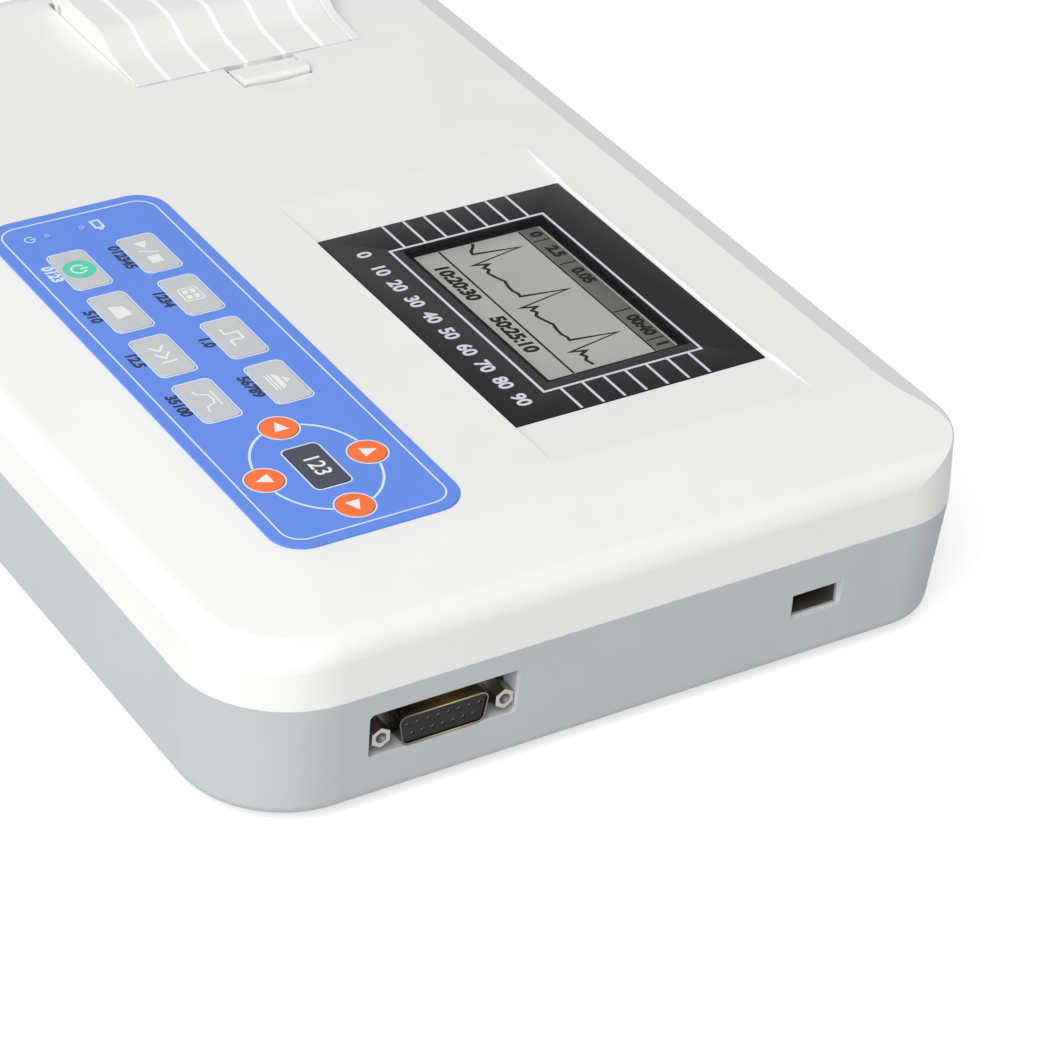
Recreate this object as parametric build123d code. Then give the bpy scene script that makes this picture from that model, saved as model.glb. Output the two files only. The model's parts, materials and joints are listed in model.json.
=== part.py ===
"""Bench-top heart-trace recorder with a thermal printer, a small display and a membrane keypad.

The frame has +X to the user's right, +Y to the back and +Z up. The origin is the centre of the
case on the surface that it stands on. All sizes are in millimetres.
"""
import os
from math import acos, atan2, cos, degrees, hypot, pi, radians, sin, tan

from build123d import *

# Case
case_length = 315.0
case_depth = 210.0
front_corner_radius = 28.0
rear_corner_radius = 21.0
crown_corner_radius = 37.0
foot_height = 2.6
lower_height = 31.4
upper_height = 22.1
wall = 2.5
lower_side_inset = 1.25
lower_rear_inset = 2.9
lower_edge_radius = 3.5
upper_draft = 3.0
front_slope_run = 28.0
front_slope_drop = 6.0
front_edge_radius = 7.0
front_crest_radius = 60.0
crest_fillet_share = 0.85
rear_slope_run = 10.0
rear_slope_drop = 4.0
rear_edge_radius = 3.0
lip_height = 2.0
lip_thickness = 1.1
lip_clearance = 0.1

# Case posts, screws and feet
post_radius = 4.0
post_hole_radius = 1.7
pilot_hole_radius = 1.55
screw_radius = 1.5
screw_head_radius = 2.9
screw_head_height = 2.4
screw_counterbore_radius = 3.3
screw_counterbore_depth = 7.0
screw_head_edge = 0.4
screw_slot_length = 3.0
screw_slot_width = 0.6
screw_grip_in_upper = 12.0
corner_post_inset_x = 22.5
corner_post_inset_y = 17.0
front_post_x = 15.0
front_post_inset = 11.0
rear_post_end_inset = 59.5
rear_post_inset = 14.0
post_joint_gap = 0.1
foot_radius = 7.5
foot_recess_depth = 1.4
foot_inset_x = 41.5
foot_inset_y = 29.0
foot_clearance = 0.1
foot_edge_radius = 0.8

# Display
scoop_depth = 1.3
scoop_ramp = 19.0
window_length = 97.8
window_width = 73.7
window_thickness = 1.4
window_pocket_depth = 1.2
window_clearance = 0.15
window_corner_radius = 0.6
window_end_inset = 103.0
window_rear_inset = 67.65
scoop_margin_front = 1.0
scoop_margin_rear = 1.3
display_pad_margin = 4.0
display_pad_thickness = 2.0
screen_shift_x = -1.7
screen_shift_y = 3.25
screen_length = 66.0
screen_width = 38.4
screen_frame_border = 2.0
lcd_frame_border = 9.0
lcd_frame_height = 5.6
lcd_sheet = 0.8
lcd_glass_thickness = 2.2
lcd_board_thickness = 1.6
lcd_board_margin = 5.6
lcd_gap = 0.2
lcd_clearance = 0.3
lcd_driver_length = 20.0
lcd_driver_width = 9.7
lcd_driver_height = 2.2

# Keypad
pad_end_inset = 111.1
pad_front_inset = 53.9
pad_length = 162.4
pad_width = 50.2
pad_corner_radius = 8.5
pad_recess_depth = 0.4
pad_thickness = 0.6
pad_clearance = 0.15
key_length = 17.8
key_width = 9.7
key_corner_radius = 1.4
key_pitch = 22.8
key_first_shift = -52.5
key_front_shift = -10.55
key_rear_shift = 9.2
key_proud = 0.25
key_cap_height = 3.2
key_edge_radius = 0.2
key_gap = 0.15
key_housing_gap = 0.6
key_stem_radius = 2.4
key_travel = 0.35
key_stop_gap = 0.05
dome_radius = 3.0
dome_height = 0.6
set_key_shift = 52.4
set_key_front_shift = -0.8
set_key_length = 17.9
set_key_width = 9.4
arrow_key_radius = 4.65
arrow_offset_x = 18.3
arrow_offset_y = 13.9
keypad_board_depth = 2.6
keypad_board_thickness = 1.6
keypad_board_margin = 2.0
board_boss_radius = 2.5
lamp_radius = 1.0
lamp_clearance = 0.1
lamp_shift = -71.2
lamp_front_shift = -10.4
lamp_rear_shift = -0.6

# Paper door and its latch
door_width = 70.0
door_length = 52.4
door_end_inset = 18.0
door_rear_inset = 73.5
door_skin = 2.0
door_lip_depth = 1.5
door_step = 0.5
arch_foot_run = 13.9
arch_foot_rise = 2.0
arch_crest_run = 23.9
arch_rise = 6.9
arch_foot_radius = 14.0
arch_crest_radius = 12.0
arch_end_radius = 3.0
strip_count = 6
strip_step = 0.5
strip_riser = 1.0
strip_groove_inset = 2.4
strip_groove_width = 0.7
strip_groove_depth = 0.35
strip_first_inset = 9.1
strip_pitch = 12.1
door_clearance = 0.2
ledge_clearance = 0.2
ledge_width = 3.9
hinge_inset = 4.0
hinge_drop = 5.5
hinge_pin_radius = 1.25
hinge_clearance = 0.04
hinge_boss_radius = 3.0
hinge_ear_radius = 2.5
hinge_ear_half = 2.0
hinge_ear_overlap = 7.0
hinge_well_margin = 2.0
door_end_wall = 1.2
door_end_height = 6.0
door_end_notch = 4.5
latch_length = 9.7
latch_ridge_length = 5.5
latch_width = 20.4
latch_shift_y = 2.3
latch_gap = 1.8
latch_rise = 1.7
latch_depth = 3.4
latch_round = 1.5
latch_side_gap = 0.8
latch_front_gap = 0.8
latch_tongue_width = 10.0
latch_tongue_length = 10.5
latch_tongue_thickness = 1.6
latch_guide_wall = 1.4
latch_guide_length = 7.0
latch_slide_gap = 0.1
finger_scoop_radius = 60.0
finger_scoop_depth = 0.5

# Printer mechanism
plate_gap = 61.0
plate_thickness = 2.0
roll_hinge_distance = 25.0
roll_z = 38.0
roll_radius = 18.5
roll_width = 50.0
roll_bore_radius = 6.3
spindle_radius = 6.2
spindle_stub_radius = 3.0
spindle_stub_clearance = 0.08
spindle_end_gap = 0.3
trough_gap = 1.2
trough_wall = 1.6
trough_rib = 4.8
platen_z = 46.0
platen_radius = 5.5
platen_length = 54.0
platen_shaft_radius = 2.0
bush_radius = 3.5
bush_flange_radius = 4.5
bush_flange = 0.6
bush_clearance = 0.05
gear_module = 0.5
pressure_angle = 20.0
root_depth_in_modules = 1.25
gear_width = 3.0
gear_plate_gap = 2.0
platen_teeth = 24
idler_teeth = 30
pinion_teeth = 12
tooth_backlash = 0.08
tooth_clearance = 0.12
idler_pin_radius = 1.5
pinion_bore_radius = 0.8
motor_shift_x = -4.0
motor_z = 24.0
motor_radius = 10.0
motor_length = 15.0
motor_edge_radius = 0.8
motor_collar_radius = 3.2
motor_collar_length = 2.0
frame_left_overhang = 11.5
frame_right_inset = 0.9
frame_top_z = 47.0
frame_bottom_z = 10.0
frame_base_thickness = 2.0
frame_corner_radius = 2.4
head_gap = 0.3
head_ceramic = 0.8
head_sink = 3.4
head_sink_grooves = 4
head_height = 13.0
head_length = 54.0
head_spring_thickness = 0.5
head_spring_length = 26.0
head_spring_width = 6.0
head_bracket_inset = 1.5
head_bracket_thickness = 1.5
tear_slot = 3.0
tear_bar_width = 2.6
tear_bar_thickness = 0.6
tear_tooth_pitch = 1.5
tear_tooth_depth = 0.7
tear_bar_length = 54.0

# Patient socket: a fifteen-way D-shaped socket on the right-hand end
port_front_inset = 56.0
port_z = 19.6
port_recess_shift = -0.3
port_recess_z = 21.35
port_recess_length = 39.5
port_recess_height = 12.0
port_recess_radius = 1.0
port_recess_chamfer = 0.6
port_recess_depth = 7.0
port_shroud = 1.8
port_flange_thickness = 0.8
port_shell_length = 24.7
port_shell_height = 8.4
port_shell_slant = 10.0
port_shell_radius = 2.0
port_shell_wall = 0.4
port_shell_reach = 5.9
port_insert_back = 4.2
port_insert_gap = 0.35
contact_pitch = 2.77
contact_row_gap = 2.84
contact_radius = 0.55
contact_depth = 4.0
contacts_long_row = 8
contacts_short_row = 7
jackscrew_spacing = 33.3
jackscrew_flat = 4.76
jackscrew_length = 4.8
jackscrew_thread_radius = 1.42
jackscrew_depth = 4.0
hexagon_sides = 6
hexagon_turn = 30.0

# Data socket on the right-hand end
usb_rear_inset = 48.6
usb_z = 19.9
usb_length = 12.5
usb_height = 5.12
usb_sheet = 0.35
usb_depth = 14.0
usb_inset = 0.6
usb_tongue_length = 8.8
usb_tongue_width = 11.1
usb_tongue_thickness = 1.84
usb_tongue_drop = 1.1
usb_opening_gap = 0.1
usb_chamfer = 0.9
usb_leg_width = 1.6

# Boards, beeper and their bosses
main_board_left_x = 36.0
main_board_end_inset = 11.5
main_board_front_inset = 29.0
main_board_rear_inset = 35.0
main_board_top_z = 16.2
board_thickness = 1.6
board_hole_inset = 6.0
chip_size = 20.0
chip_height = 2.2
screen_can_size = 40.0
screen_can_height = 4.4
beeper_radius = 6.0
beeper_height = 8.5
beeper_hole_radius = 1.1
beeper_inset = 18.0
power_board_printer_gap = 10.0
power_board_main_gap = 12.0
power_board_battery_gap = 18.0
power_board_rear_inset = 39.0
power_board_top_z = 13.6
transformer_inset = 42.0
transformer_length = 42.0
transformer_width = 35.0
transformer_height = 30.0
transformer_leg = 9.0
transformer_slot_gap = 2.25
coil_length = 26.0
coil_width = 44.0
coil_hole_length = 13.5
coil_gap = 0.2
capacitor_radius = 8.0
capacitor_height = 25.0
capacitor_spacing = 20.0
capacitor_inset = 16.0

# Battery bay in the underside
battery_x = -23.0
battery_front_inset = 61.0
battery_length = 75.0
battery_width = 68.0
battery_cell_radius = 9.2
battery_cells = 4
battery_clearance = 0.6
bay_wall = 1.6
battery_door_thickness = 2.0
battery_door_overlap = 4.0
battery_door_gap = 0.25
battery_screw_recess = 1.2
battery_ear_radius = 5.8
battery_door_radius = 2.0

# Mains panel, recessed in the rear wall
panel_left_inset = 60.5
panel_length = 172.0
panel_low_z = 7.0
panel_high_z = 30.0
panel_depth = 12.5
panel_thickness = 1.8
panel_shroud = 1.6
panel_corner_radius = 3.0
panel_item_z = 18.5
flange_corner_radius = 1.0
inlet_inset = 25.0
inlet_flange_length = 30.0
inlet_flange_height = 22.4
inlet_flange_thickness = 2.0
inlet_body_length = 27.0
inlet_body_height = 19.8
inlet_body_depth = 20.0
inlet_cavity_length = 24.4
inlet_cavity_height = 16.6
inlet_cavity_chamfer = 4.2
inlet_cavity_depth = 17.0
inlet_panel_gap = 0.15
blade_spread = 7.0
blade_offset_z = 2.0
blade_width = 2.0
blade_height = 4.0
blade_length = 13.5
blade_tail = 6.0
blade_tip_chamfer = 0.5
switch_inset = 63.0
switch_frame_length = 21.0
switch_frame_height = 15.0
switch_frame_thickness = 2.0
switch_body_length = 19.0
switch_body_height = 12.8
switch_body_depth = 14.0
rocker_length = 15.4
rocker_height = 9.6
rocker_gap = 0.5
rocker_tilt = 8.0
rocker_radius = 24.0
rocker_proud = 2.4
rocker_depth = 5.0
rocker_pin_radius = 1.2
fuse_inset = 95.0
fuse_spacing = 22.0
fuse_flange_radius = 7.6
fuse_flange_thickness = 2.0
fuse_body_radius = 6.2
fuse_body_depth = 24.0
fuse_cap_radius = 6.0
fuse_cap_height = 6.0
fuse_plug_radius = 4.6
fuse_plug_length = 8.0
fuse_plug_clearance = 0.08
fuse_cap_lift = 0.3
fuse_slot_width = 1.6
fuse_slot_depth = 1.5
fuse_flutes = 12
fuse_flute_radius = 0.7
ground_inset = 21.0
ground_pin_radius = 3.0
ground_pin_length = 10.5
ground_neck_radius = 2.0
ground_neck_length = 1.5
ground_tip_chamfer = 0.5
ground_nut_flat = 10.0
ground_nut_thickness = 2.5
ground_shank_length = 10.0

# Places in plan that follow from the sizes above
right_x = case_length / 2
left_x = -right_x
rear_y = case_depth / 2
front_y = -rear_y
corner_post_x = right_x - corner_post_inset_x
corner_post_y = rear_y - corner_post_inset_y
front_post_y = front_y + front_post_inset
rear_post_x = right_x - rear_post_end_inset
rear_post_y = rear_y - rear_post_inset
foot_x = right_x - foot_inset_x
foot_y = rear_y - foot_inset_y
window_x = right_x - window_end_inset
window_y = rear_y - window_rear_inset
screen_x = window_x + screen_shift_x
screen_y = window_y + screen_shift_y
pad_x = right_x - pad_end_inset
pad_y = front_y + pad_front_inset
key_first_x = pad_x + key_first_shift
key_front_y = pad_y + key_front_shift
key_rear_y = pad_y + key_rear_shift
set_key_x = pad_x + set_key_shift
set_key_y = pad_y + set_key_front_shift
lamp_x = pad_x + lamp_shift
lamp_front_y = pad_y + lamp_front_shift
lamp_rear_y = pad_y + lamp_rear_shift
door_y = rear_y - door_rear_inset
door_front_y = door_y - door_width / 2
door_rear_y = door_y + door_width / 2
door_far_x = left_x + door_end_inset
door_near_x = door_far_x + door_length
arch_foot_x = door_near_x - arch_foot_run
arch_crest_x = door_near_x - arch_crest_run
hinge_x = door_far_x + hinge_inset
strip_first_y = door_front_y + strip_first_inset
latch_y = door_y + latch_shift_y
latch_left_x = door_near_x + latch_gap
latch_right_x = latch_left_x + latch_length
well_right_x = latch_right_x + latch_front_gap
paper_slot_left_x = door_far_x - tear_slot
roll_x = hinge_x + roll_hinge_distance
platen_x = hinge_x
motor_x = platen_x + motor_shift_x
frame_left_x = door_far_x - frame_left_overhang
frame_right_x = door_near_x - frame_right_inset
head_bracket_x = frame_left_x + head_bracket_inset
plate_front_y = door_y - plate_gap / 2 - plate_thickness
plate_rear_y = door_y + plate_gap / 2
port_y = front_y + port_front_inset
port_recess_y = port_y + port_recess_shift
usb_y = rear_y - usb_rear_inset
battery_y = front_y + battery_front_inset
main_board_right_x = right_x - main_board_end_inset
main_board_front_y = front_y + main_board_front_inset
main_board_rear_y = rear_y - main_board_rear_inset
power_board_left_x = frame_right_x + power_board_printer_gap
power_board_right_x = main_board_left_x - power_board_main_gap
power_board_front_y = battery_y + battery_width / 2 + power_board_battery_gap
power_board_rear_y = rear_y - power_board_rear_inset
panel_y = rear_y - panel_depth
panel_left_x = left_x + panel_left_inset
panel_right_x = panel_left_x + panel_length
inlet_x = panel_left_x + inlet_inset
switch_x = panel_left_x + switch_inset
fuse_x = panel_left_x + fuse_inset
ground_x = panel_right_x - ground_inset

# Heights that follow from the sizes above
parting_z = foot_height + lower_height
plateau_z = parting_z + upper_height
floor_z = foot_height + wall
roof_z = plateau_z - wall
scoop_z = plateau_z - scoop_depth
window_seat_z = scoop_z - window_pocket_depth
display_pad_z = window_seat_z - display_pad_thickness
pad_seat_z = plateau_z - pad_recess_depth
pad_top_z = pad_seat_z + pad_thickness
key_top_z = pad_top_z + key_proud
keypad_board_top_z = roof_z - keypad_board_depth
dome_top_z = keypad_board_top_z + dome_height
lcd_top_z = window_seat_z - lcd_gap
lcd_board_top_z = lcd_top_z - lcd_frame_height
ledge_z = plateau_z - door_lip_depth - ledge_clearance
door_bottom_z = plateau_z - door_lip_depth
arch_top_z = plateau_z + arch_rise
hinge_z = arch_top_z - hinge_drop
main_board_low_z = main_board_top_z - board_thickness
power_board_low_z = power_board_top_z - board_thickness
latch_top_z = plateau_z + latch_rise
latch_low_z = plateau_z - latch_depth
level_tolerance = 0.05
past = 1.0


# Shape helpers

def around(middle, size):
    """Span of a size centred on a place."""
    return (middle - size / 2, middle + size / 2)


def grow(span, amount):
    """Span made longer at both ends."""
    return (span[0] - amount, span[1] + amount)


def block(x_span, y_span, z_span):
    """Box between three spans."""
    spans = (x_span, y_span, z_span)
    size = [high - low for low, high in spans]
    middle = [(high + low) / 2 for low, high in spans]
    return Pos(*middle) * Box(*size)


def prism_x(sketch, low, high):
    """Prism along X of a sketch drawn in Y and Z."""
    return extrude(Plane.YZ.offset(low) * sketch, amount=high - low)


def prism_y(sketch, low, high):
    """Prism along Y of a sketch drawn in X and Z."""
    return extrude(Plane.XZ.offset(-high) * sketch, amount=high - low)


def prism_z(sketch, low, high):
    """Prism along Z of a sketch drawn in X and Y."""
    return extrude(Plane.XY.offset(low) * sketch, amount=high - low)


def rod_x(y, z, radius, low, high):
    """Round bar along X."""
    return prism_x(Pos(y, z) * Circle(radius), low, high)


def rod_y(x, z, radius, low, high):
    """Round bar along Y."""
    return prism_y(Pos(x, z) * Circle(radius), low, high)


def rod_z(x, y, radius, low, high):
    """Round bar along Z."""
    return prism_z(Pos(x, y) * Circle(radius), low, high)


def level_edges(solid, height):
    """Edges of a solid that lie wholly at one height."""
    found = []
    for edge in solid.edges():
        box = edge.bounding_box()
        if abs(box.min.Z - height) < level_tolerance and abs(box.max.Z - height) < level_tolerance:
            found.append(edge)
    return found


def group(solids):
    """Separate solids that share one node."""
    return Compound(children=list(solids))


# Case forms

def plan_outline(length, depth, inset):
    """Rectangle with wide corners at the front and tighter ones at the rear."""
    plan = Rectangle(length, depth)
    plan = fillet(plan.vertices().group_by(Axis.Y)[0], front_corner_radius - inset)
    return fillet(plan.vertices().group_by(Axis.Y)[-1], rear_corner_radius - inset)


def case_outline(inset):
    """Plan outline of the case at the parting plane."""
    return plan_outline(case_length - 2 * inset, case_depth - 2 * inset, inset)


def lower_form(inset):
    """Drafted form of the lower shell, whose rear wall leans more than the others."""
    length = case_length - 2 * inset - 2 * lower_side_inset
    depth = case_depth - 2 * inset - lower_side_inset - lower_rear_inset
    shift = (lower_side_inset - lower_rear_inset) / 2
    foot = Pos(0, shift) * plan_outline(length, depth, inset + lower_side_inset)
    sections = [Plane.XY.offset(foot_height) * foot, Plane.XY.offset(parting_z) * case_outline(inset)]
    return loft(sections, ruled=True)


def wall_section(radius, inset):
    """Section through the drafted wall, drawn outwards from the axis of a corner."""
    height = upper_height - inset
    reach = radius - inset
    return Polygon((0, 0), (reach, 0), (reach - height * wall_lean(), height), (0, height), align=None)


def wall_lean():
    """How far the upper shell's wall leans in for each unit of height."""
    return tan(radians(upper_draft))


def rim_section(radius, inset):
    """Section through the wall and the short rear slope, drawn outwards from the axis of a corner."""
    height = upper_height - inset
    reach = radius - inset
    shoulder = (reach - (height - rear_slope_drop) * wall_lean(), height - rear_slope_drop)
    crest_reach = reach - height * wall_lean() - rear_slope_run
    outline = Polygon((0, 0), (reach, 0), shoulder, (crest_reach, height), (0, height), align=None)
    return fillet(nearest_vertex(outline.vertices(), shoulder), rear_edge_radius)


def cap_section(inset):
    """Section through the long front slope, which runs on past the wall."""
    height = upper_height - inset
    reach = crown_corner_radius - inset
    crest = (reach - height * wall_lean() - front_slope_run, height)
    shoulder_x = reach - (height - front_slope_drop) * wall_lean()
    slope = atan2(front_slope_drop, shoulder_x - crest[0])
    end_x = reach + front_edge_radius
    end_z = height - (end_x - crest[0]) * tan(slope)
    outline = Polygon((0, 0), (end_x, 0), (end_x, end_z), crest, (0, height), align=None)
    room = crest_fillet_share * crest[0] / tan(slope / 2)
    return fillet(nearest_vertex(outline.vertices(), crest), min(front_crest_radius, room))


def nearest_vertex(vertices, place):
    """The vertex of a sketch that lies nearest to a place."""
    return min(vertices, key=lambda vertex: hypot(vertex.X - place[0], vertex.Y - place[1]))


def rim_corner(section, x, y, turn):
    """A rim section swept a quarter turn round the axis of a corner."""
    face = Plane.XZ * section
    return Pos(x, y, parting_z) * Rot(0, 0, turn) * revolve(face, Axis.Z, 90)


def rim_side(section, start, length, turn):
    """A rim section carried straight on from a place, its wall facing the turned X axis."""
    bar = extrude(Plane.XZ * section, amount=-length)
    return Pos(start[0], start[1], parting_z) * Rot(0, 0, turn) * bar


def swept_form(section, radius, inset):
    """A section carried round the front, corner and right walls and past the other two."""
    x = right_x - radius
    y = front_y + radius
    form = rim_corner(section, x, y, -90)
    form += rim_side(section, (x, y), case_depth, 0)
    form += rim_side(section, (x - case_length, y), case_length, -90)
    low_z = parting_z
    return form + block((x - case_length, x), (y, y + case_depth), (low_z, low_z + upper_height - inset))


def crown_form(inset):
    """Soft crown: the drafted wall under a long slope, with a wide round where they meet."""
    walls = swept_form(wall_section(front_corner_radius, inset), front_corner_radius, inset)
    crown = walls & swept_form(cap_section(inset), crown_corner_radius, inset)
    rim_z = parting_z + upper_height - inset - front_slope_drop
    rim = [edge for edge in crown.edges() if abs(edge.center().Z - rim_z) < front_slope_drop / 4]
    return fillet(rim, front_edge_radius)


def core_form(inset):
    """Creased core: the same drafted wall and a short steep slope on all four sides."""
    front_section = rim_section(front_corner_radius, inset)
    rear_section = rim_section(rear_corner_radius, inset)
    front_x = right_x - front_corner_radius
    rear_x = right_x - rear_corner_radius
    low_y = front_y + front_corner_radius
    high_y = rear_y - rear_corner_radius
    form = block((-front_x, front_x), (low_y, high_y), (parting_z, parting_z + upper_height - inset))
    form += rim_corner(front_section, front_x, low_y, -90)
    form += rim_corner(front_section, -front_x, low_y, 180)
    form += rim_corner(rear_section, rear_x, high_y, 0)
    form += rim_corner(rear_section, -rear_x, high_y, 90)
    form += rim_side(front_section, (-front_x, low_y), 2 * front_x, -90)
    form += rim_side(front_section, (front_x, low_y), high_y - low_y, 0)
    form += rim_side(front_section, (-front_x, high_y), high_y - low_y, 180)
    return form + rim_side(rear_section, (rear_x, high_y), 2 * rear_x, 90)


def upper_form(inset):
    """Form of the upper shell: soft slopes at the front and right, a crease at the rear and left."""
    return core_form(inset) & crown_form(inset)


def post_places():
    """Where the case screws stand."""
    places = [(x, y) for x in (-corner_post_x, corner_post_x) for y in (-corner_post_y, corner_post_y)]
    places.append((front_post_x, front_post_y))
    places.append((rear_post_x, rear_post_y))
    return places


def foot_places():
    """Where the rubber feet stand."""
    return [(x, y) for x in (-foot_x, foot_x) for y in (-foot_y, foot_y)]


# Keypad layout

def key_layout():
    """Every key's name with its plan outline at the origin and its place."""
    plain = RectangleRounded(key_length, key_width, key_corner_radius)
    wide = RectangleRounded(set_key_length, set_key_width, key_corner_radius)
    disc = Circle(arrow_key_radius)
    layout = {}
    front_names = ("key_power", "key_sensitivity", "key_speed", "key_filter")
    rear_names = ("key_start_stop", "key_mode", "key_calibrate", "key_print")
    for column, name in enumerate(front_names):
        layout[name] = (plain, key_first_x + column * key_pitch, key_front_y)
    for column, name in enumerate(rear_names):
        layout[name] = (plain, key_first_x + column * key_pitch, key_rear_y)
    layout["key_set"] = (wide, set_key_x, set_key_y)
    layout["key_left"] = (disc, set_key_x - arrow_offset_x, set_key_y)
    layout["key_right"] = (disc, set_key_x + arrow_offset_x, set_key_y)
    layout["key_down"] = (disc, set_key_x, set_key_y - arrow_offset_y)
    layout["key_up"] = (disc, set_key_x, set_key_y + arrow_offset_y)
    return layout


def lamp_places():
    """Places of the two status lamps at the keypad's left end."""
    return [(lamp_x, lamp_front_y), (lamp_x, lamp_rear_y)]


def key_holes(gap, low, high):
    """Cutters for all keys and lamps, wider than the keys by a gap."""
    cutters = [prism_z(Pos(x, y) * offset(shape, gap), low, high) for shape, x, y in key_layout().values()]
    cutters += [rod_z(x, y, lamp_radius + lamp_clearance, low, high) for x, y in lamp_places()]
    return cutters


def keypad_boss_places():
    """Bosses that carry the keypad board, between the keys and at the ends."""
    row_middle = (key_front_y + key_rear_y) / 2
    places = [(key_first_x + (column + 0.5) * key_pitch, row_middle) for column in range(3)]
    span_x = grow(around(pad_x, pad_length), -keypad_board_margin - 2 * board_boss_radius)
    span_y = grow(around(pad_y, pad_width), -keypad_board_margin - 2 * board_boss_radius)
    places += [(x, y) for x in span_x for y in span_y]
    return places


# Display parts

def window_spans(gap):
    """X and Y spans of the display window, grown by a gap."""
    return grow(around(window_x, window_length), gap), grow(around(window_y, window_width), gap)


def display_scoop():
    """Shallow trough round the window, whose floor ramps up beyond both ends."""
    span_x, span_y = window_spans(0)
    low_y = span_y[0] - scoop_margin_front
    high_y = span_y[1] + scoop_margin_rear
    with BuildSketch() as profile:
        Polygon((span_x[0] - scoop_ramp, plateau_z), (span_x[0], scoop_z), (span_x[1], scoop_z),
                (span_x[1] + scoop_ramp, plateau_z), align=None)
    lid = block(grow(span_x, scoop_ramp), (low_y, high_y), (plateau_z, plateau_z + past))
    return prism_y(profile.sketch, low_y, high_y) + lid


def screen_opening(border, low, high):
    """Box over the visible screen, grown by a border."""
    span_x = grow(around(screen_x, screen_length), border)
    span_y = grow(around(screen_y, screen_width), border)
    return block(span_x, span_y, (low, high))


def lcd_board_spans():
    """X and Y spans of the display's circuit board."""
    border = lcd_frame_border + lcd_board_margin
    return grow(around(screen_x, screen_length), border), grow(around(screen_y, screen_width), border)


def lcd_boss_places():
    """Corners of the display board, where its bosses stand."""
    span_x, span_y = lcd_board_spans()
    inset = board_boss_radius
    return [(x, y) for x in grow(span_x, -inset) for y in grow(span_y, -inset)]


def display_window():
    """Clear sheet of the display window."""
    span_x, span_y = window_spans(0)
    sheet = block(span_x, span_y, (window_seat_z, window_seat_z + window_thickness))
    return fillet(sheet.edges().filter_by(Axis.Z), window_corner_radius)


def lcd_frame():
    """Folded steel frame that holds the display glass."""
    frame = screen_opening(lcd_frame_border, lcd_board_top_z, lcd_top_z)
    frame -= screen_opening(lcd_frame_border - lcd_sheet, lcd_board_top_z - past, lcd_top_z - lcd_sheet)
    return frame - screen_opening(screen_frame_border, lcd_board_top_z, lcd_top_z + past)


def lcd_glass():
    """Display glass, seated against the inside of the frame."""
    high = lcd_top_z - lcd_sheet
    return screen_opening(lcd_frame_border - lcd_sheet - lcd_gap, high - lcd_glass_thickness, high)


def lcd_board():
    """Display circuit board with its driver strip and connector."""
    span_x, span_y = lcd_board_spans()
    low = lcd_board_top_z - lcd_board_thickness
    board = block(span_x, span_y, (low, lcd_board_top_z))
    driver = block(around(screen_x, lcd_driver_length), around(screen_y, lcd_driver_width),
                   (low - lcd_driver_height, low))
    for x, y in lcd_boss_places():
        board -= rod_z(x, y, pilot_hole_radius, low - past, lcd_board_top_z + past)
    return board + driver


# Upper shell

def door_outline(gap):
    """X and Y spans of the paper door, grown by a gap."""
    return grow((door_far_x, door_near_x), gap), grow((door_front_y, door_rear_y), gap)


def door_cutters():
    """Ledge, paper bay and hinge well that the paper door needs in the upper shell."""
    span_x, span_y = door_outline(door_clearance)
    low = roof_z - display_pad_thickness - past
    ledge = block(span_x, span_y, (ledge_z, plateau_z + past))
    bay_y = (plate_front_y - door_clearance, plate_rear_y + plate_thickness + door_clearance)
    bay = block((paper_slot_left_x, door_near_x - ledge_width), bay_y, (low, plateau_z + past))
    well_x = (paper_slot_left_x, hinge_x + hinge_boss_radius + hinge_well_margin)
    well = block(well_x, span_y, (low, plateau_z + past))
    return ledge + bay + well


def latch_cutters():
    """Well for the latch tab and the shallow finger dish in front of it."""
    span_y = around(latch_y, latch_width + 2 * latch_side_gap)
    low = roof_z - past
    well = block((door_near_x - ledge_width - past, well_right_x), span_y, (low, plateau_z + past))
    dish_z = plateau_z + finger_scoop_radius - finger_scoop_depth
    return well + Pos(well_right_x, latch_y, dish_z) * Sphere(finger_scoop_radius)


def top_housing():
    """White upper shell with its openings, recesses, posts and board bosses."""
    outer = upper_form(0)
    inside = upper_form(wall)
    shell = outer - inside
    ring = case_outline(wall - lip_thickness - lip_clearance) - case_outline(wall + past)
    shell -= prism_z(ring, parting_z - past, parting_z + lip_height + lip_clearance)

    span_x, span_y = window_spans(display_pad_margin)
    shell += block(span_x, span_y, (display_pad_z, roof_z + past))
    shell -= display_scoop()
    pocket_x, pocket_y = window_spans(window_clearance)
    shell -= block(pocket_x, pocket_y, (window_seat_z, plateau_z))
    shell -= screen_opening(lcd_frame_border + lcd_clearance, display_pad_z - past, plateau_z)

    recess = RectangleRounded(pad_length + 2 * pad_clearance, pad_width + 2 * pad_clearance,
                              pad_corner_radius + pad_clearance)
    shell -= prism_z(Pos(pad_x, pad_y) * recess, pad_seat_z, plateau_z + past)
    for cutter in key_holes(key_housing_gap, roof_z - past, plateau_z):
        shell -= cutter
    shell -= door_cutters()
    shell -= latch_cutters()

    for x, y in post_places():
        post = rod_z(x, y, post_radius, parting_z, roof_z + past) & outer
        pilot = rod_z(x, y, pilot_hole_radius, parting_z - past, parting_z + screw_grip_in_upper + past)
        shell = shell + post - pilot
    for x, y in keypad_boss_places():
        shell += rod_z(x, y, board_boss_radius, keypad_board_top_z, roof_z + pad_recess_depth)
    for x, y in lcd_boss_places():
        shell += rod_z(x, y, board_boss_radius, lcd_board_top_z, display_pad_z + past)
    return shell


# Keypad parts

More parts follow.
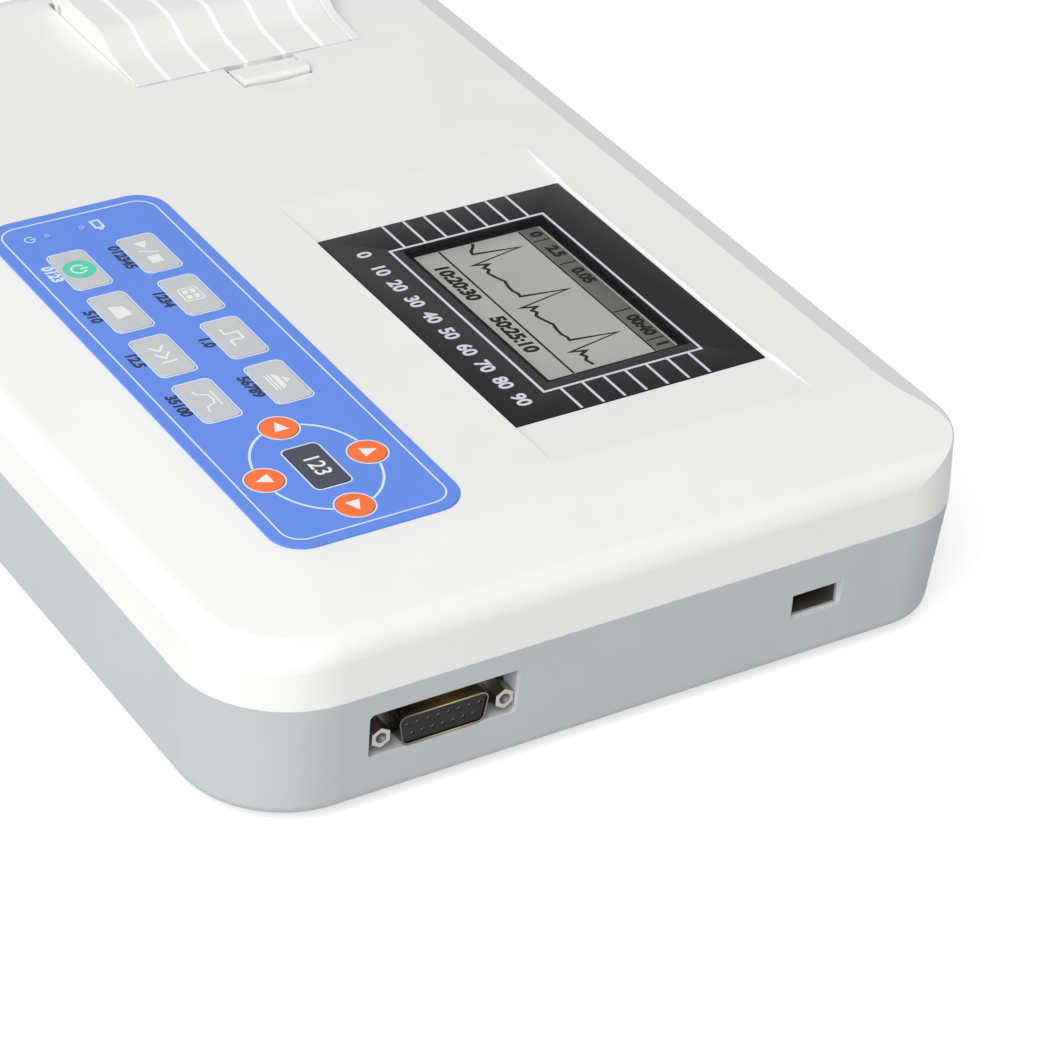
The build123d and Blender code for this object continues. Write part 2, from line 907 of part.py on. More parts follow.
def keypad_overlay():
    """Thin keypad sheet with an opening round each raised key."""
    sheet = RectangleRounded(pad_length, pad_width, pad_corner_radius)
    overlay = prism_z(Pos(pad_x, pad_y) * sheet, pad_seat_z, pad_top_z)
    for cutter in key_holes(key_gap, pad_seat_z - past, pad_top_z + past):
        overlay -= cutter
    return overlay


def key_piece(name):
    """One key: a cap with a soft edge on a round stem that ends above its dome."""
    shape, x, y = key_layout()[name]
    cap = prism_z(Pos(x, y) * shape, key_top_z - key_cap_height, key_top_z)
    cap = fillet(level_edges(cap, key_top_z), key_edge_radius)
    stem_end = dome_top_z + key_travel + key_stop_gap
    stem = rod_z(x, y, key_stem_radius, stem_end, key_top_z - key_cap_height)
    return cap + stem


def keypad_board():
    """Keypad circuit board with a snap dome under each key."""
    length = pad_length - 2 * keypad_board_margin
    width = pad_width - 2 * keypad_board_margin
    board = prism_z(Pos(pad_x, pad_y) * RectangleRounded(length, width, pad_corner_radius / 2),
                    keypad_board_top_z - keypad_board_thickness, keypad_board_top_z)
    for shape, x, y in key_layout().values():
        dome = Cone(dome_radius, dome_radius / 2, dome_height, align=(Align.CENTER, Align.CENTER, Align.MIN))
        board += Pos(x, y, keypad_board_top_z) * dome
    return board


def status_lamps():
    """Two light pipes that bring the status lamps up through the overlay."""
    top = pad_top_z + key_gap
    return group(rod_z(x, y, lamp_radius, keypad_board_top_z, top) for x, y in lamp_places())


# Paper door

def arch_profile():
    """Side view of the door: a near lip, an S-shaped rise and a flat crest that ends at the hinge."""
    low = door_bottom_z - wall
    near_top = plateau_z + door_step
    with BuildSketch() as profile:
        Polygon((door_near_x, low), (door_near_x, near_top), (arch_foot_x, plateau_z + arch_foot_rise),
                (arch_crest_x, arch_top_z), (door_far_x, arch_top_z), (door_far_x, low), align=None)
    sketch = profile.sketch
    by_x = sorted(sketch.vertices(), key=lambda vertex: vertex.X)
    foot = [vertex for vertex in by_x if abs(vertex.X - arch_foot_x) < level_tolerance]
    sketch = fillet(foot, arch_foot_radius)
    crest = [vertex for vertex in sketch.vertices() if abs(vertex.X - arch_crest_x) < level_tolerance]
    sketch = fillet(crest, arch_crest_radius)
    end = [vertex for vertex in sketch.vertices()
           if abs(vertex.X - door_far_x) < level_tolerance and vertex.Y > plateau_z]
    return fillet(end, arch_end_radius)


def tapered_prism(first, first_y, last, last_y):
    """Solid along Y from one side view to another."""
    return loft([Plane.XZ.offset(-first_y) * first, Plane.XZ.offset(-last_y) * last], ruled=True)


def door_body():
    """Solid under the door's top, whose strips overlap like shingles and fall to the rear."""
    crest = arch_profile()
    sunk = offset(crest, -strip_step)
    start_y = door_front_y
    bands = []
    for index in range(strip_count - 1):
        riser_y = strip_first_y + index * strip_pitch
        bands.append(tapered_prism(crest, start_y, sunk, riser_y))
        start_y = riser_y + strip_riser
        bands.append(tapered_prism(sunk, riser_y, crest, start_y))
    bands.append(prism_y(crest, start_y, door_rear_y))
    groove_y = door_rear_y - strip_groove_inset
    groove = crest - offset(crest, -strip_groove_depth)
    return bands[0].fuse(*bands[1:]) - prism_y(groove, groove_y - strip_groove_width, groove_y)


def latch_guide_spans():
    """Spans of the guide block under the door that the latch tongue runs in."""
    span_x = (door_near_x - door_skin - latch_guide_length, door_near_x - door_skin)
    half = latch_tongue_width + 2 * latch_slide_gap + 2 * latch_guide_wall
    return span_x, around(latch_y, half)


def tongue_spans(gap):
    """Spans of the latch tongue, grown by a gap."""
    high = door_bottom_z - 2 * latch_slide_gap
    span_x = (latch_left_x - latch_tongue_length, latch_left_x)
    span_z = (high - latch_tongue_thickness, high)
    return span_x, grow(around(latch_y, latch_tongue_width), gap), grow(span_z, gap)


def paper_door():
    """Arched paper door with side flanks, hinge bosses and the latch guide."""
    span_y = (door_front_y, door_rear_y)
    inner_y = grow(span_y, -door_skin)
    door = door_body() - prism_y(offset(arch_profile(), -door_skin), *inner_y)

    # Under the crest the far end is a short thin wall, notched for the chassis ears
    far_x = (door_far_x - past, hinge_x + hinge_boss_radius + door_skin)
    end_x = (door_far_x + door_end_wall, far_x[1])
    low_z = door_bottom_z - wall - past
    skin_low = arch_top_z - door_skin
    door -= block(end_x, inner_y, (low_z, skin_low))
    door -= block(far_x, inner_y, (low_z, arch_top_z - door_end_height))
    for edge_y in inner_y:
        notch_y = around(edge_y, 2 * door_end_notch)
        notch_y = (max(notch_y[0], inner_y[0]), min(notch_y[1], inner_y[1]))
        door -= block(far_x, notch_y, (low_z, skin_low))
    door -= block((door_far_x - past, door_near_x + past), grow(span_y, past), (low_z, door_bottom_z))

    # Round the flanks about the hinge so that they can turn
    heel = block((door_far_x - past, hinge_x), grow(span_y, past), (low_z, hinge_z))
    heel -= rod_y(hinge_x, hinge_z, hinge_boss_radius, *grow(span_y, 2 * past))
    door -= heel
    door -= rod_y(hinge_x, hinge_z, hinge_pin_radius + hinge_clearance, *grow(span_y, past))

    # Guide block for the latch tongue
    guide_x, guide_y = latch_guide_spans()
    tongue_x, tongue_y, tongue_z = tongue_spans(latch_slide_gap)
    roof_box = Pos((guide_x[0] + guide_x[1]) / 2, plateau_z) * Rectangle(latch_guide_length, 4 * door_skin)
    roof = offset(arch_profile(), -strip_step) & roof_box
    guide = prism_y(roof, *guide_y)
    guide += block(guide_x, guide_y, (tongue_z[0] - latch_guide_wall, door_bottom_z))
    guide -= block(grow(tongue_x, past), tongue_y, tongue_z)
    return door + guide


def door_latch():
    """Sliding latch tab: a rounded ridge and a level shelf on a tongue that runs under the door."""
    span_y = around(latch_y, latch_width)
    shelf = block((latch_left_x, latch_right_x), span_y, (latch_low_z, plateau_z))
    ridge = block((latch_right_x - latch_ridge_length, latch_right_x), span_y, (latch_low_z, latch_top_z))
    crests = [edge for edge in ridge.edges().filter_by(Axis.Y) if edge.center().Z > plateau_z]
    ridge = fillet(crests, latch_round)
    return ridge + shelf + block(*tongue_spans(0))


def door_hinge_pins():
    """Two steel pins, one through each flank into the chassis ear."""
    front = rod_y(hinge_x, hinge_z, hinge_pin_radius, door_front_y, plate_front_y + plate_thickness)
    rear = rod_y(hinge_x, hinge_z, hinge_pin_radius, plate_rear_y, door_rear_y)
    return group([front, rear])


# Printer mechanism

def idler_place():
    """Idler axis: in mesh with the platen gear above it and the pinion below it."""
    upper = gear_module * (platen_teeth + idler_teeth) / 2
    lower = gear_module * (idler_teeth + pinion_teeth) / 2
    run_x = motor_x - platen_x
    run_z = motor_z - platen_z
    span = hypot(run_x, run_z)
    swing = acos((upper ** 2 + span ** 2 - lower ** 2) / (2 * upper * span))
    heading = atan2(run_z, run_x) + swing
    return platen_x + upper * cos(heading), platen_z + upper * sin(heading)


def gear(teeth, bore, start_angle):
    """Spur gear sketch at the origin, one tooth centred on the start angle in degrees."""
    pitch_radius = gear_module * teeth / 2
    tip_radius = pitch_radius + gear_module - tooth_clearance
    root_radius = pitch_radius - root_depth_in_modules * gear_module
    half = pi / (2 * teeth) - tooth_backlash / 2 / pitch_radius
    lean = gear_module * tan(radians(pressure_angle)) / pitch_radius
    flank = ((root_radius, half + lean), (pitch_radius, half), (tip_radius, half - lean))
    corners = [(radius, -turn) for radius, turn in flank] + list(reversed(flank))
    points = []
    for index in range(teeth):
        middle = radians(start_angle) + 2 * pi * index / teeth
        points += [(radius * cos(middle + turn), radius * sin(middle + turn)) for radius, turn in corners]
    return Polygon(*points, align=None) - Circle(bore)


def gear_span():
    """Y span of the gear train, in front of the chassis."""
    high = plate_front_y - gear_plate_gap
    return high - gear_width, high


def mesh_angles():
    """Start angles that put the platen gear, idler and pinion in mesh at rest."""
    idler_x, idler_z = idler_place()
    to_idler = degrees(atan2(idler_z - platen_z, idler_x - platen_x))
    to_motor = degrees(atan2(motor_z - idler_z, motor_x - idler_x))
    platen_start = to_idler
    idler_start = to_idler + 180 + 180 / idler_teeth
    idler_pitch = 360 / idler_teeth
    gap_at_motor = (to_motor - idler_start) / idler_pitch
    phase = gap_at_motor - round(gap_at_motor)
    pinion_start = to_motor + 180 + (0.5 + phase) * 360 / pinion_teeth
    return platen_start, idler_start, pinion_start


def platen_gear():
    """Gear on the end of the platen shaft, with a hub towards the chassis."""
    low, high = gear_span()
    rim = gear(platen_teeth, platen_shaft_radius, mesh_angles()[0])
    wheel = prism_y(Pos(platen_x, platen_z) * rim, low, high)
    hub = Pos(platen_x, platen_z) * (Circle(platen_shaft_radius * 2) - Circle(platen_shaft_radius))
    return wheel + prism_y(hub, high, plate_front_y - bush_flange - bush_clearance * 2)


def idler_gear():
    """Idler that links the pinion to the platen gear."""
    low, high = gear_span()
    idler_x, idler_z = idler_place()
    bore = idler_pin_radius + bush_clearance
    rim = gear(idler_teeth, bore, mesh_angles()[1])
    wheel = prism_y(Pos(idler_x, idler_z) * rim, low, high)
    hub = Pos(idler_x, idler_z) * (Circle(2 * idler_pin_radius) - Circle(bore))
    return wheel + prism_y(hub, high, plate_front_y - bush_clearance * 2)


def motor_pinion():
    """Pinion on the motor shaft, with the shaft itself."""
    low, high = gear_span()
    rim = gear(pinion_teeth, pinion_bore_radius, mesh_angles()[2])
    wheel = prism_y(Pos(motor_x, motor_z) * rim, low, high)
    shaft = rod_y(motor_x, motor_z, pinion_bore_radius, low - past, plate_front_y + plate_thickness)
    return wheel + shaft


def platen_roller():
    """Rubber sleeve that drives the paper."""
    sleeve = Pos(platen_x, platen_z) * (Circle(platen_radius) - Circle(platen_shaft_radius))
    return prism_y(sleeve, *around(door_y, platen_length))


def platen_shaft():
    """Steel shaft through the sleeve, both bushes and the gear."""
    end = plate_rear_y + plate_thickness + past
    return rod_y(platen_x, platen_z, platen_shaft_radius, gear_span()[0], end)


def platen_bushes():
    """Flanged bushes pressed into both side plates."""
    bore = Circle(platen_shaft_radius + bush_clearance)
    ring = Pos(platen_x, platen_z) * (Circle(bush_radius) - bore)
    flange = Pos(platen_x, platen_z) * (Circle(bush_flange_radius) - bore)
    front = prism_y(ring, plate_front_y, plate_front_y + plate_thickness)
    front += prism_y(flange, plate_front_y - bush_flange, plate_front_y)
    rear_face = plate_rear_y + plate_thickness
    rear = prism_y(ring, plate_rear_y, rear_face) + prism_y(flange, rear_face, rear_face + bush_flange)
    return group([front, rear])


def side_plate_sketch():
    """Outline of a chassis side plate with its hinge ear, bush hole and open notch for the spindle."""
    width = frame_right_x - frame_left_x
    height = frame_top_z - frame_bottom_z
    middle = ((frame_left_x + frame_right_x) / 2, (frame_top_z + frame_bottom_z) / 2)
    plate = Pos(*middle) * RectangleRounded(width, height, frame_corner_radius)
    rise = hinge_z - frame_top_z + hinge_ear_overlap
    plate += Pos(hinge_x, hinge_z - rise / 2) * Rectangle(2 * hinge_ear_half, rise)
    plate += Pos(hinge_x, hinge_z) * Circle(hinge_ear_radius)
    plate += Pos(platen_x, platen_z) * Circle(bush_flange_radius)
    plate -= Pos(hinge_x, hinge_z) * Circle(hinge_pin_radius)
    plate -= Pos(platen_x, platen_z) * Circle(bush_radius)
    notch_radius = spindle_stub_radius + spindle_stub_clearance
    depth = frame_top_z - roll_z + past
    plate -= Pos(roll_x, roll_z) * Circle(notch_radius)
    return plate - Pos(roll_x, roll_z + depth / 2) * Rectangle(2 * notch_radius, depth)


def trough_sketch():
    """Half-round paper trough with a rib down to the chassis base."""
    inner = roll_radius + trough_gap
    outer = inner + trough_wall
    arc = Circle(outer) - Circle(inner)
    arc -= Pos(0, outer) * Rectangle(2 * outer + past, 2 * outer)
    drop = roll_z - frame_bottom_z
    rib_height = drop - inner - trough_wall / 2
    rib = Pos(0, -drop + rib_height / 2) * Rectangle(trough_rib, rib_height)
    return Pos(roll_x, roll_z) * (arc + rib)


def printer_frame():
    """Moulded chassis: two side plates, the paper trough, the base and the head bracket."""
    front = (plate_front_y, plate_front_y + plate_thickness)
    rear = (plate_rear_y, plate_rear_y + plate_thickness)
    between = (front[1] - past / 2, rear[0] + past / 2)
    chassis = prism_y(side_plate_sketch(), *front) + prism_y(side_plate_sketch(), *rear)
    chassis += prism_y(trough_sketch(), *between)
    base_x = (roll_x - roll_radius, frame_right_x)
    chassis += block(base_x, between, (frame_bottom_z, frame_bottom_z + frame_base_thickness))
    bracket_x = (head_bracket_x, head_bracket_x + head_bracket_thickness)
    chassis += block(bracket_x, between, (platen_z - head_height / 2 - trough_gap, frame_top_z))
    collar = motor_collar_radius + bush_clearance
    chassis -= rod_y(motor_x, motor_z, collar, *grow(front, past))
    idler_x, idler_z = idler_place()
    low = gear_span()[0]
    return chassis + rod_y(idler_x, idler_z, idler_pin_radius, low, front[1])


def stepper_motor():
    """Round stepper motor on the inside of the front side plate, its collar through the plate."""
    face = plate_front_y + plate_thickness
    body = rod_y(motor_x, motor_z, motor_radius, face, face + motor_length)
    body = fillet(body.edges().filter_by(GeomType.CIRCLE), motor_edge_radius)
    collar = rod_y(motor_x, motor_z, motor_collar_radius, face - motor_collar_length, face)
    return body + collar - rod_y(motor_x, motor_z, pinion_bore_radius + bush_clearance,
                                 face - motor_collar_length - past, face + bush_clearance)


def print_head():
    """Thermal head: a ceramic strip on a finned aluminium block, facing the platen."""
    face_x = platen_x - platen_radius - head_gap
    span_y = around(door_y, head_length)
    span_z = around(platen_z, head_height)
    front_x = face_x - head_ceramic
    back_x = front_x - head_sink
    strip = block((front_x, face_x), span_y, span_z)
    sink = block((back_x, front_x), span_y, span_z)
    pitch = head_height / (head_sink_grooves + 1)
    for index in range(head_sink_grooves):
        groove_z = around(span_z[0] + (index + 1) * pitch, pitch / 2)
        sink -= block((back_x - past, (back_x + front_x) / 2), span_y, groove_z)
    return strip + sink


def head_spring():
    """Leaf spring between the bracket and the head: a shallow bowed strip."""
    bracket_face = head_bracket_x + head_bracket_thickness
    head_back = platen_x - platen_radius - head_gap - head_ceramic - head_sink
    half = head_spring_length / 2
    back = bracket_face + head_spring_thickness
    crest = head_back - head_spring_thickness
    with BuildSketch() as leaf:
        with BuildLine():
            ThreePointArc((back, -half), (head_back, 0), (back, half))
            Line((back, half), (bracket_face, half))
            ThreePointArc((bracket_face, half), (crest, 0), (bracket_face, -half))
            Line((bracket_face, -half), (back, -half))
        make_face()
    return prism_z(Pos(0, door_y) * leaf.sketch, *around(platen_z, head_spring_width))


def tear_bar():
    """Saw-toothed steel strip along the outer side of the paper slot."""
    half = tear_bar_length / 2
    inner_x = paper_slot_left_x
    outer_x = inner_x - tear_bar_width
    count = int(tear_bar_length / tear_tooth_pitch)
    pitch = tear_bar_length / count
    points = [(outer_x, door_y - half), (inner_x - tear_tooth_depth, door_y - half)]
    for index in range(count):
        points.append((inner_x, door_y - half + (index + 0.5) * pitch))
        points.append((inner_x - tear_tooth_depth, door_y - half + (index + 1) * pitch))
    points.append((outer_x, door_y + half))
    return prism_z(Polygon(*points, align=None), plateau_z, plateau_z + tear_bar_thickness)


def paper_roll():
    """Roll of thermal paper on its core."""
    ring = Pos(roll_x, roll_z) * (Circle(roll_radius) - Circle(roll_bore_radius))
    return prism_y(ring, *around(door_y, roll_width))


def roll_spindle():
    """Spindle that lies in the open notches of the chassis."""
    inner = grow((plate_front_y + plate_thickness, plate_rear_y), -spindle_end_gap)
    outer = (plate_front_y, plate_rear_y + plate_thickness)
    return (rod_y(roll_x, roll_z, spindle_radius, *inner)
            + rod_y(roll_x, roll_z, spindle_stub_radius, *outer))


# Patient socket

def port_shell_sketch(grown):
    """D-shaped outline of the patient socket, grown by a margin."""
    half = port_shell_length / 2 + grown
    high = port_shell_height / 2 + grown
    slant = 2 * high * sin(radians(port_shell_slant))
    with BuildSketch() as outline:
        Polygon((-half, high), (half, high), (half - slant, -high), (slant - half, -high), align=None)
        fillet(outline.vertices(), port_shell_radius + grown)
    return Pos(port_y, port_z) * outline.sketch


def port_face_x():
    """X of the recess floor that carries the patient socket's flange."""
    return right_x - port_recess_depth


def jackscrew_places():
    """Y of both jackscrews."""
    return around(port_y, jackscrew_spacing)


def port_shroud_solid():
    """Walls of the recess behind the end wall."""
    size_y = port_recess_length + 2 * port_shroud
    size_z = port_recess_height + 2 * port_shroud
    outline = Pos(port_recess_y, port_recess_z) * RectangleRounded(size_y, size_z, port_recess_radius)
    return prism_x(outline, port_face_x() - port_shroud, right_x - wall / 2)


def port_cutters():
    """Recess, its bevelled mouth, the socket's opening and the screw holes."""
    outline = RectangleRounded(port_recess_length, port_recess_height, port_recess_radius)
    outline = Pos(port_recess_y, port_recess_z) * outline
    recess = prism_x(outline, port_face_x(), right_x + past)
    mouth_x = right_x - port_recess_chamfer - lower_side_inset / 2
    mouth = loft([Plane.YZ.offset(mouth_x) * outline,
                  Plane.YZ.offset(right_x + past) * offset(outline, port_recess_chamfer + past / 2)])
    back_x = port_face_x() - port_shroud - past
    cutters = recess + mouth + prism_x(port_shell_sketch(port_insert_gap), back_x, right_x)
    for y in jackscrew_places():
        cutters += rod_x(y, port_z, jackscrew_thread_radius + port_insert_gap, back_x, right_x)
    return cutters


def patient_port_shell():
    """Steel front of the patient socket: a flange with a D-shaped collar."""
    face_x = port_face_x()
    flange_y = around(port_recess_y, port_recess_length - 2 * port_insert_gap)
    flange_z = around(port_recess_z, port_recess_height - 2 * port_insert_gap)
    flange = block((face_x, face_x + port_flange_thickness), flange_y, flange_z)
    collar = prism_x(port_shell_sketch(0), face_x, face_x + port_shell_reach)
    shell = flange + collar
    shell -= prism_x(port_shell_sketch(-port_shell_wall), face_x - past, right_x + past)
    for y in jackscrew_places():
        shell -= rod_x(y, port_z, jackscrew_thread_radius + port_insert_gap, face_x - past, right_x)
    return shell


def contact_places():
    """Y and Z of the fifteen contacts, eight above seven."""
    upper = [(port_y + (index - (contacts_long_row - 1) / 2) * contact_pitch, port_z + contact_row_gap / 2)
             for index in range(contacts_long_row)]
    lower = [(port_y + (index - (contacts_short_row - 1) / 2) * contact_pitch, port_z - contact_row_gap / 2)
             for index in range(contacts_short_row)]
    return upper + lower


def patient_port_insert():
    """Black insert of the patient socket with its contact holes."""
    face_x = port_face_x()
    front_x = face_x + port_shell_reach - port_insert_gap
    gap = port_shell_wall + port_insert_gap / 2
    insert = prism_x(port_shell_sketch(-gap), face_x - port_insert_back, front_x)
    for y, z in contact_places():
        insert -= rod_x(y, z, contact_radius, front_x - contact_depth, front_x + past)
    return insert


def patient_port_jackscrews():
    """Two hexagonal threaded posts beside the collar."""
    start = port_face_x() + port_flange_thickness
    hexagon = RegularPolygon(jackscrew_flat / 2, hexagon_sides, major_radius=False, rotation=hexagon_turn)
    screws = []
    for y in jackscrew_places():
        post = prism_x(Pos(y, port_z) * hexagon, start, start + jackscrew_length)
        shank = rod_x(y, port_z, jackscrew_thread_radius, port_face_x() - 2 * port_shroud, start)
        bore_start = start + jackscrew_length - jackscrew_depth
        bore = rod_x(y, port_z, jackscrew_thread_radius, bore_start, start + jackscrew_length + past)
        screws.append(post + shank - bore)
    return group(screws)


# Data socket

def usb_front_x():
    """X of the data socket's mouth, just inside the drafted end wall."""
    return right_x - lower_side_inset - usb_inset


def usb_cutters():
    """Opening for the data socket with a bevelled mouth."""
    length = usb_length + 2 * usb_sheet + 2 * usb_opening_gap
    height = usb_height + 2 * usb_sheet + 2 * usb_opening_gap
    outline = Pos(usb_y, usb_z) * Rectangle(length, height)
    inner_x = right_x - wall - lower_side_inset - past
    hole = prism_x(outline, inner_x, right_x + past)
    mouth_start = right_x - usb_chamfer - lower_side_inset / 2
    flare = offset(outline, usb_chamfer + past, kind=Kind.INTERSECTION)
    mouth = loft([Plane.YZ.offset(mouth_start) * outline, Plane.YZ.offset(right_x + past) * flare])
    return hole + mouth


def usb_socket_shell():
    """Folded steel shell of the data socket, standing on two legs on the main board."""
    front_x = usb_front_x()
    span_x = (front_x - usb_depth, front_x)
    outer_y = around(usb_y, usb_length + 2 * usb_sheet)
    outer_z = around(usb_z, usb_height + 2 * usb_sheet)
    shell = block(span_x, outer_y, outer_z)
    inner_x = (span_x[0] + usb_sheet, front_x + past)
    shell -= block(inner_x, around(usb_y, usb_length), around(usb_z, usb_height))
    leg_x = (span_x[0], span_x[0] + usb_leg_width)
    for edge in (outer_y[0], outer_y[1] - usb_sheet):
        shell += block(leg_x, (edge, edge + usb_sheet), (main_board_top_z, usb_z))
    return shell


def usb_socket_tongue():
    """Plastic tongue that carries the data socket's contacts."""
    back_x = usb_front_x() - usb_depth + usb_sheet
    base_x = back_x + usb_leg_width
    span_y = around(usb_y, usb_tongue_width)
    base = block((back_x, base_x), span_y, around(usb_z, usb_height - 2 * usb_sheet))
    high = usb_z + usb_height / 2 - usb_tongue_drop
    low = high - usb_tongue_thickness
    return base + block((back_x, base_x + usb_tongue_length), span_y, (low, high))


# Boards and supply

def board_hole_places(span_x, span_y):
    """Screw places near the corners of a board."""
    return [(x, y) for x in grow(span_x, -board_hole_inset) for y in grow(span_y, -board_hole_inset)]


def main_board_spans():
    """X and Y spans of the main board."""
    return (main_board_left_x, main_board_right_x), (main_board_front_y, main_board_rear_y)


def power_board_spans():
    """X and Y spans of the supply board."""
    return (power_board_left_x, power_board_right_x), (power_board_front_y, power_board_rear_y)


def main_board():
    """Main circuit board with its processor, analogue screen can and connector block."""
    span_x, span_y = main_board_spans()
    board = block(span_x, span_y, (main_board_low_z, main_board_top_z))
    for x, y in board_hole_places(span_x, span_y):
        board -= rod_z(x, y, post_hole_radius, main_board_low_z - past, main_board_top_z + past)
    middle_x = (span_x[0] + span_x[1]) / 2
    middle_y = (span_y[0] + span_y[1]) / 2
    board += block(around(middle_x, chip_size), around(middle_y, chip_size),
                   (main_board_top_z, main_board_top_z + chip_height))
    can_x = around(middle_x, screen_can_size)
    can_y = around(port_y, screen_can_size)
    board += block(can_x, can_y, (main_board_top_z, main_board_top_z + screen_can_height))
    return board


def beeper():
    """Round beeper that sounds with each beat."""
    x = main_board_left_x + beeper_inset
    y = main_board_rear_y - beeper_inset
    case = rod_z(x, y, beeper_radius, main_board_top_z, main_board_top_z + beeper_height)
    return case - rod_z(x, y, beeper_hole_radius, main_board_top_z + beeper_height / 2, plateau_z)


def power_board():
    """Supply board with its storage capacitors."""
    span_x, span_y = power_board_spans()
    board = block(span_x, span_y, (power_board_low_z, power_board_top_z))
    for x, y in board_hole_places(span_x, span_y):
        board -= rod_z(x, y, post_hole_radius, power_board_low_z - past, power_board_top_z + past)
    x = span_x[1] - capacitor_inset
    for y in around((span_y[0] + span_y[1]) / 2, capacitor_spacing):
        board += rod_z(x, y, capacitor_radius, power_board_top_z, power_board_top_z + capacitor_height)
    return board


def transformer_place():
    """Centre of the mains transformer on the supply board."""
    span_x, span_y = power_board_spans()
    return span_x[0] + transformer_inset, (span_y[0] + span_y[1]) / 2


def transformer_core():
    """Laminated core of the transformer, open at both sides for the winding."""
    x, y = transformer_place()
    span_z = (power_board_top_z, power_board_top_z + transformer_height)
    core = block(around(x, transformer_length), around(y, transformer_width), span_z)
    side = transformer_length / 2 - transformer_leg
    for direction in (-1, 1):
        slot_x = around(x + direction * (transformer_leg / 2 + side / 2), side - transformer_slot_gap)
        slot_y = grow(around(y, transformer_width), past)
        core -= block(slot_x, slot_y, grow(span_z, -transformer_leg / 2))
    return core


def transformer_winding():
    """Winding round the middle leg of the core."""
    x, y = transformer_place()
    low = power_board_top_z + transformer_leg / 2
    high = power_board_top_z + transformer_height - transformer_leg / 2
    coil = block(around(x, coil_length), around(y, coil_width), grow((low, high), -coil_gap))
    middle = block(around(x, coil_hole_length), around(y, transformer_width), (low - past, high + past))
    return coil - middle - transformer_core()


# Battery bay

def bay_spans(gap):
    """X and Y spans of the battery bay's inside, grown by a gap."""
    inside_x = grow(around(battery_x, battery_length), battery_clearance + gap)
    inside_y = grow(around(battery_y, battery_width), battery_clearance + gap)
    return inside_x, inside_y


def bay_roof_z():
    """Height of the battery bay's ceiling."""
    return foot_height + battery_door_thickness + 2 * battery_clearance + 2 * battery_cell_radius


def battery_pack():
    """Row of round cells in one shrink sleeve."""
    low = foot_height + battery_door_thickness + battery_clearance / 2
    pitch = battery_length / battery_cells
    cells = []
    for index in range(battery_cells):
        x = battery_x - battery_length / 2 + (index + 0.5) * pitch
        cells.append(Pos(x, low + battery_cell_radius) * Circle(battery_cell_radius))
    row = cells[0]
    for cell in cells[1:]:
        row += cell
    web_length = battery_length - 2 * battery_cell_radius
    row += Pos(battery_x, low + battery_cell_radius) * Rectangle(web_length, battery_cell_radius)
    return prism_y(row, *around(battery_y, battery_width))


def battery_door_spans(gap):
    """X and Y spans of the battery door, grown by a gap."""
    return bay_spans(battery_door_overlap + gap)


def battery_screw_places():
    """Screws at the middle of both short sides of the battery door."""
    span_x, _ = battery_door_spans(battery_door_overlap)
    return [(x, battery_y) for x in span_x]


def battery_door():
    """Flush cover of the battery bay with two screw ears."""
    span_x, span_y = battery_door_spans(-battery_door_gap)
    high = foot_height + battery_door_thickness
    door = block(span_x, span_y, (foot_height, high))
    door = fillet(door.edges().filter_by(Axis.Z), battery_door_radius)
    for x, y in battery_screw_places():
        door += rod_z(x, y, battery_ear_radius, foot_height, high)
        door -= rod_z(x, y, post_hole_radius, foot_height - past, high + past)
        door -= rod_z(x, y, screw_counterbore_radius, foot_height - past, foot_height + battery_screw_recess)
    return door


def battery_bay_solid():
    """Walls, ceiling and screw posts of the battery bay."""
    span_x, span_y = bay_spans(bay_wall)
    bay = block(span_x, span_y, (floor_z - past, bay_roof_z() + bay_wall))
    for x, y in battery_screw_places():
        bay += rod_z(x, y, post_radius, floor_z - past, bay_roof_z())
    return bay


def battery_bay_cutters():
    """Inside of the battery bay, the door's seat and the screw holes."""
    span_x, span_y = bay_spans(0)
    inside = block(span_x, span_y, (foot_height - past, bay_roof_z()))
    seat_x, seat_y = battery_door_spans(0)
    seat_high = foot_height + battery_door_thickness
    cutters = inside + block(seat_x, seat_y, (foot_height - past, seat_high))
    for x, y in battery_screw_places():
        cutters += rod_z(x, y, battery_ear_radius + battery_door_gap, foot_height - past, seat_high)
        cutters += rod_z(x, y, pilot_hole_radius, foot_height - past, bay_roof_z() - wall)
    return cutters


# Mains panel

def panel_outline(grown):
    """Outline of the recessed mains panel, grown by a margin."""
    length = panel_right_x - panel_left_x + 2 * grown
    height = panel_high_z - panel_low_z + 2 * grown
    middle = ((panel_left_x + panel_right_x) / 2, (panel_low_z + panel_high_z) / 2)
    return Pos(*middle) * RectangleRounded(length, height, panel_corner_radius)


def panel_rectangle(x, length, height, grown):
    """Rectangle on the mains panel, grown by a margin on each side."""
    return Pos(x, panel_item_z) * Rectangle(length + 2 * grown, height + 2 * grown)


def inlet_cavity_sketch():
    """Outline of the mains inlet's cavity, with its two slanted corners."""
    outline = Rectangle(inlet_cavity_length, inlet_cavity_height)
    upper = outline.vertices().sort_by(Axis.Y)[-2:]
    return Pos(inlet_x, panel_item_z) * chamfer(upper, inlet_cavity_chamfer)


def panel_hole_cutters():
    """Cut-outs of everything that is fitted in the mains panel."""
    low = panel_y - panel_thickness - past
    high = panel_y + past
    inlet_hole = panel_rectangle(inlet_x, inlet_body_length, inlet_body_height, inlet_panel_gap)
    switch_hole = panel_rectangle(switch_x, switch_body_length, switch_body_height, inlet_panel_gap)
    cutters = prism_y(inlet_hole, low, high) + prism_y(switch_hole, low, high)
    for x in fuse_places():
        cutters += rod_y(x, panel_item_z, fuse_body_radius + inlet_panel_gap, low, high)
    return cutters + rod_y(ground_x, panel_item_z, ground_pin_radius + inlet_panel_gap, low, high)


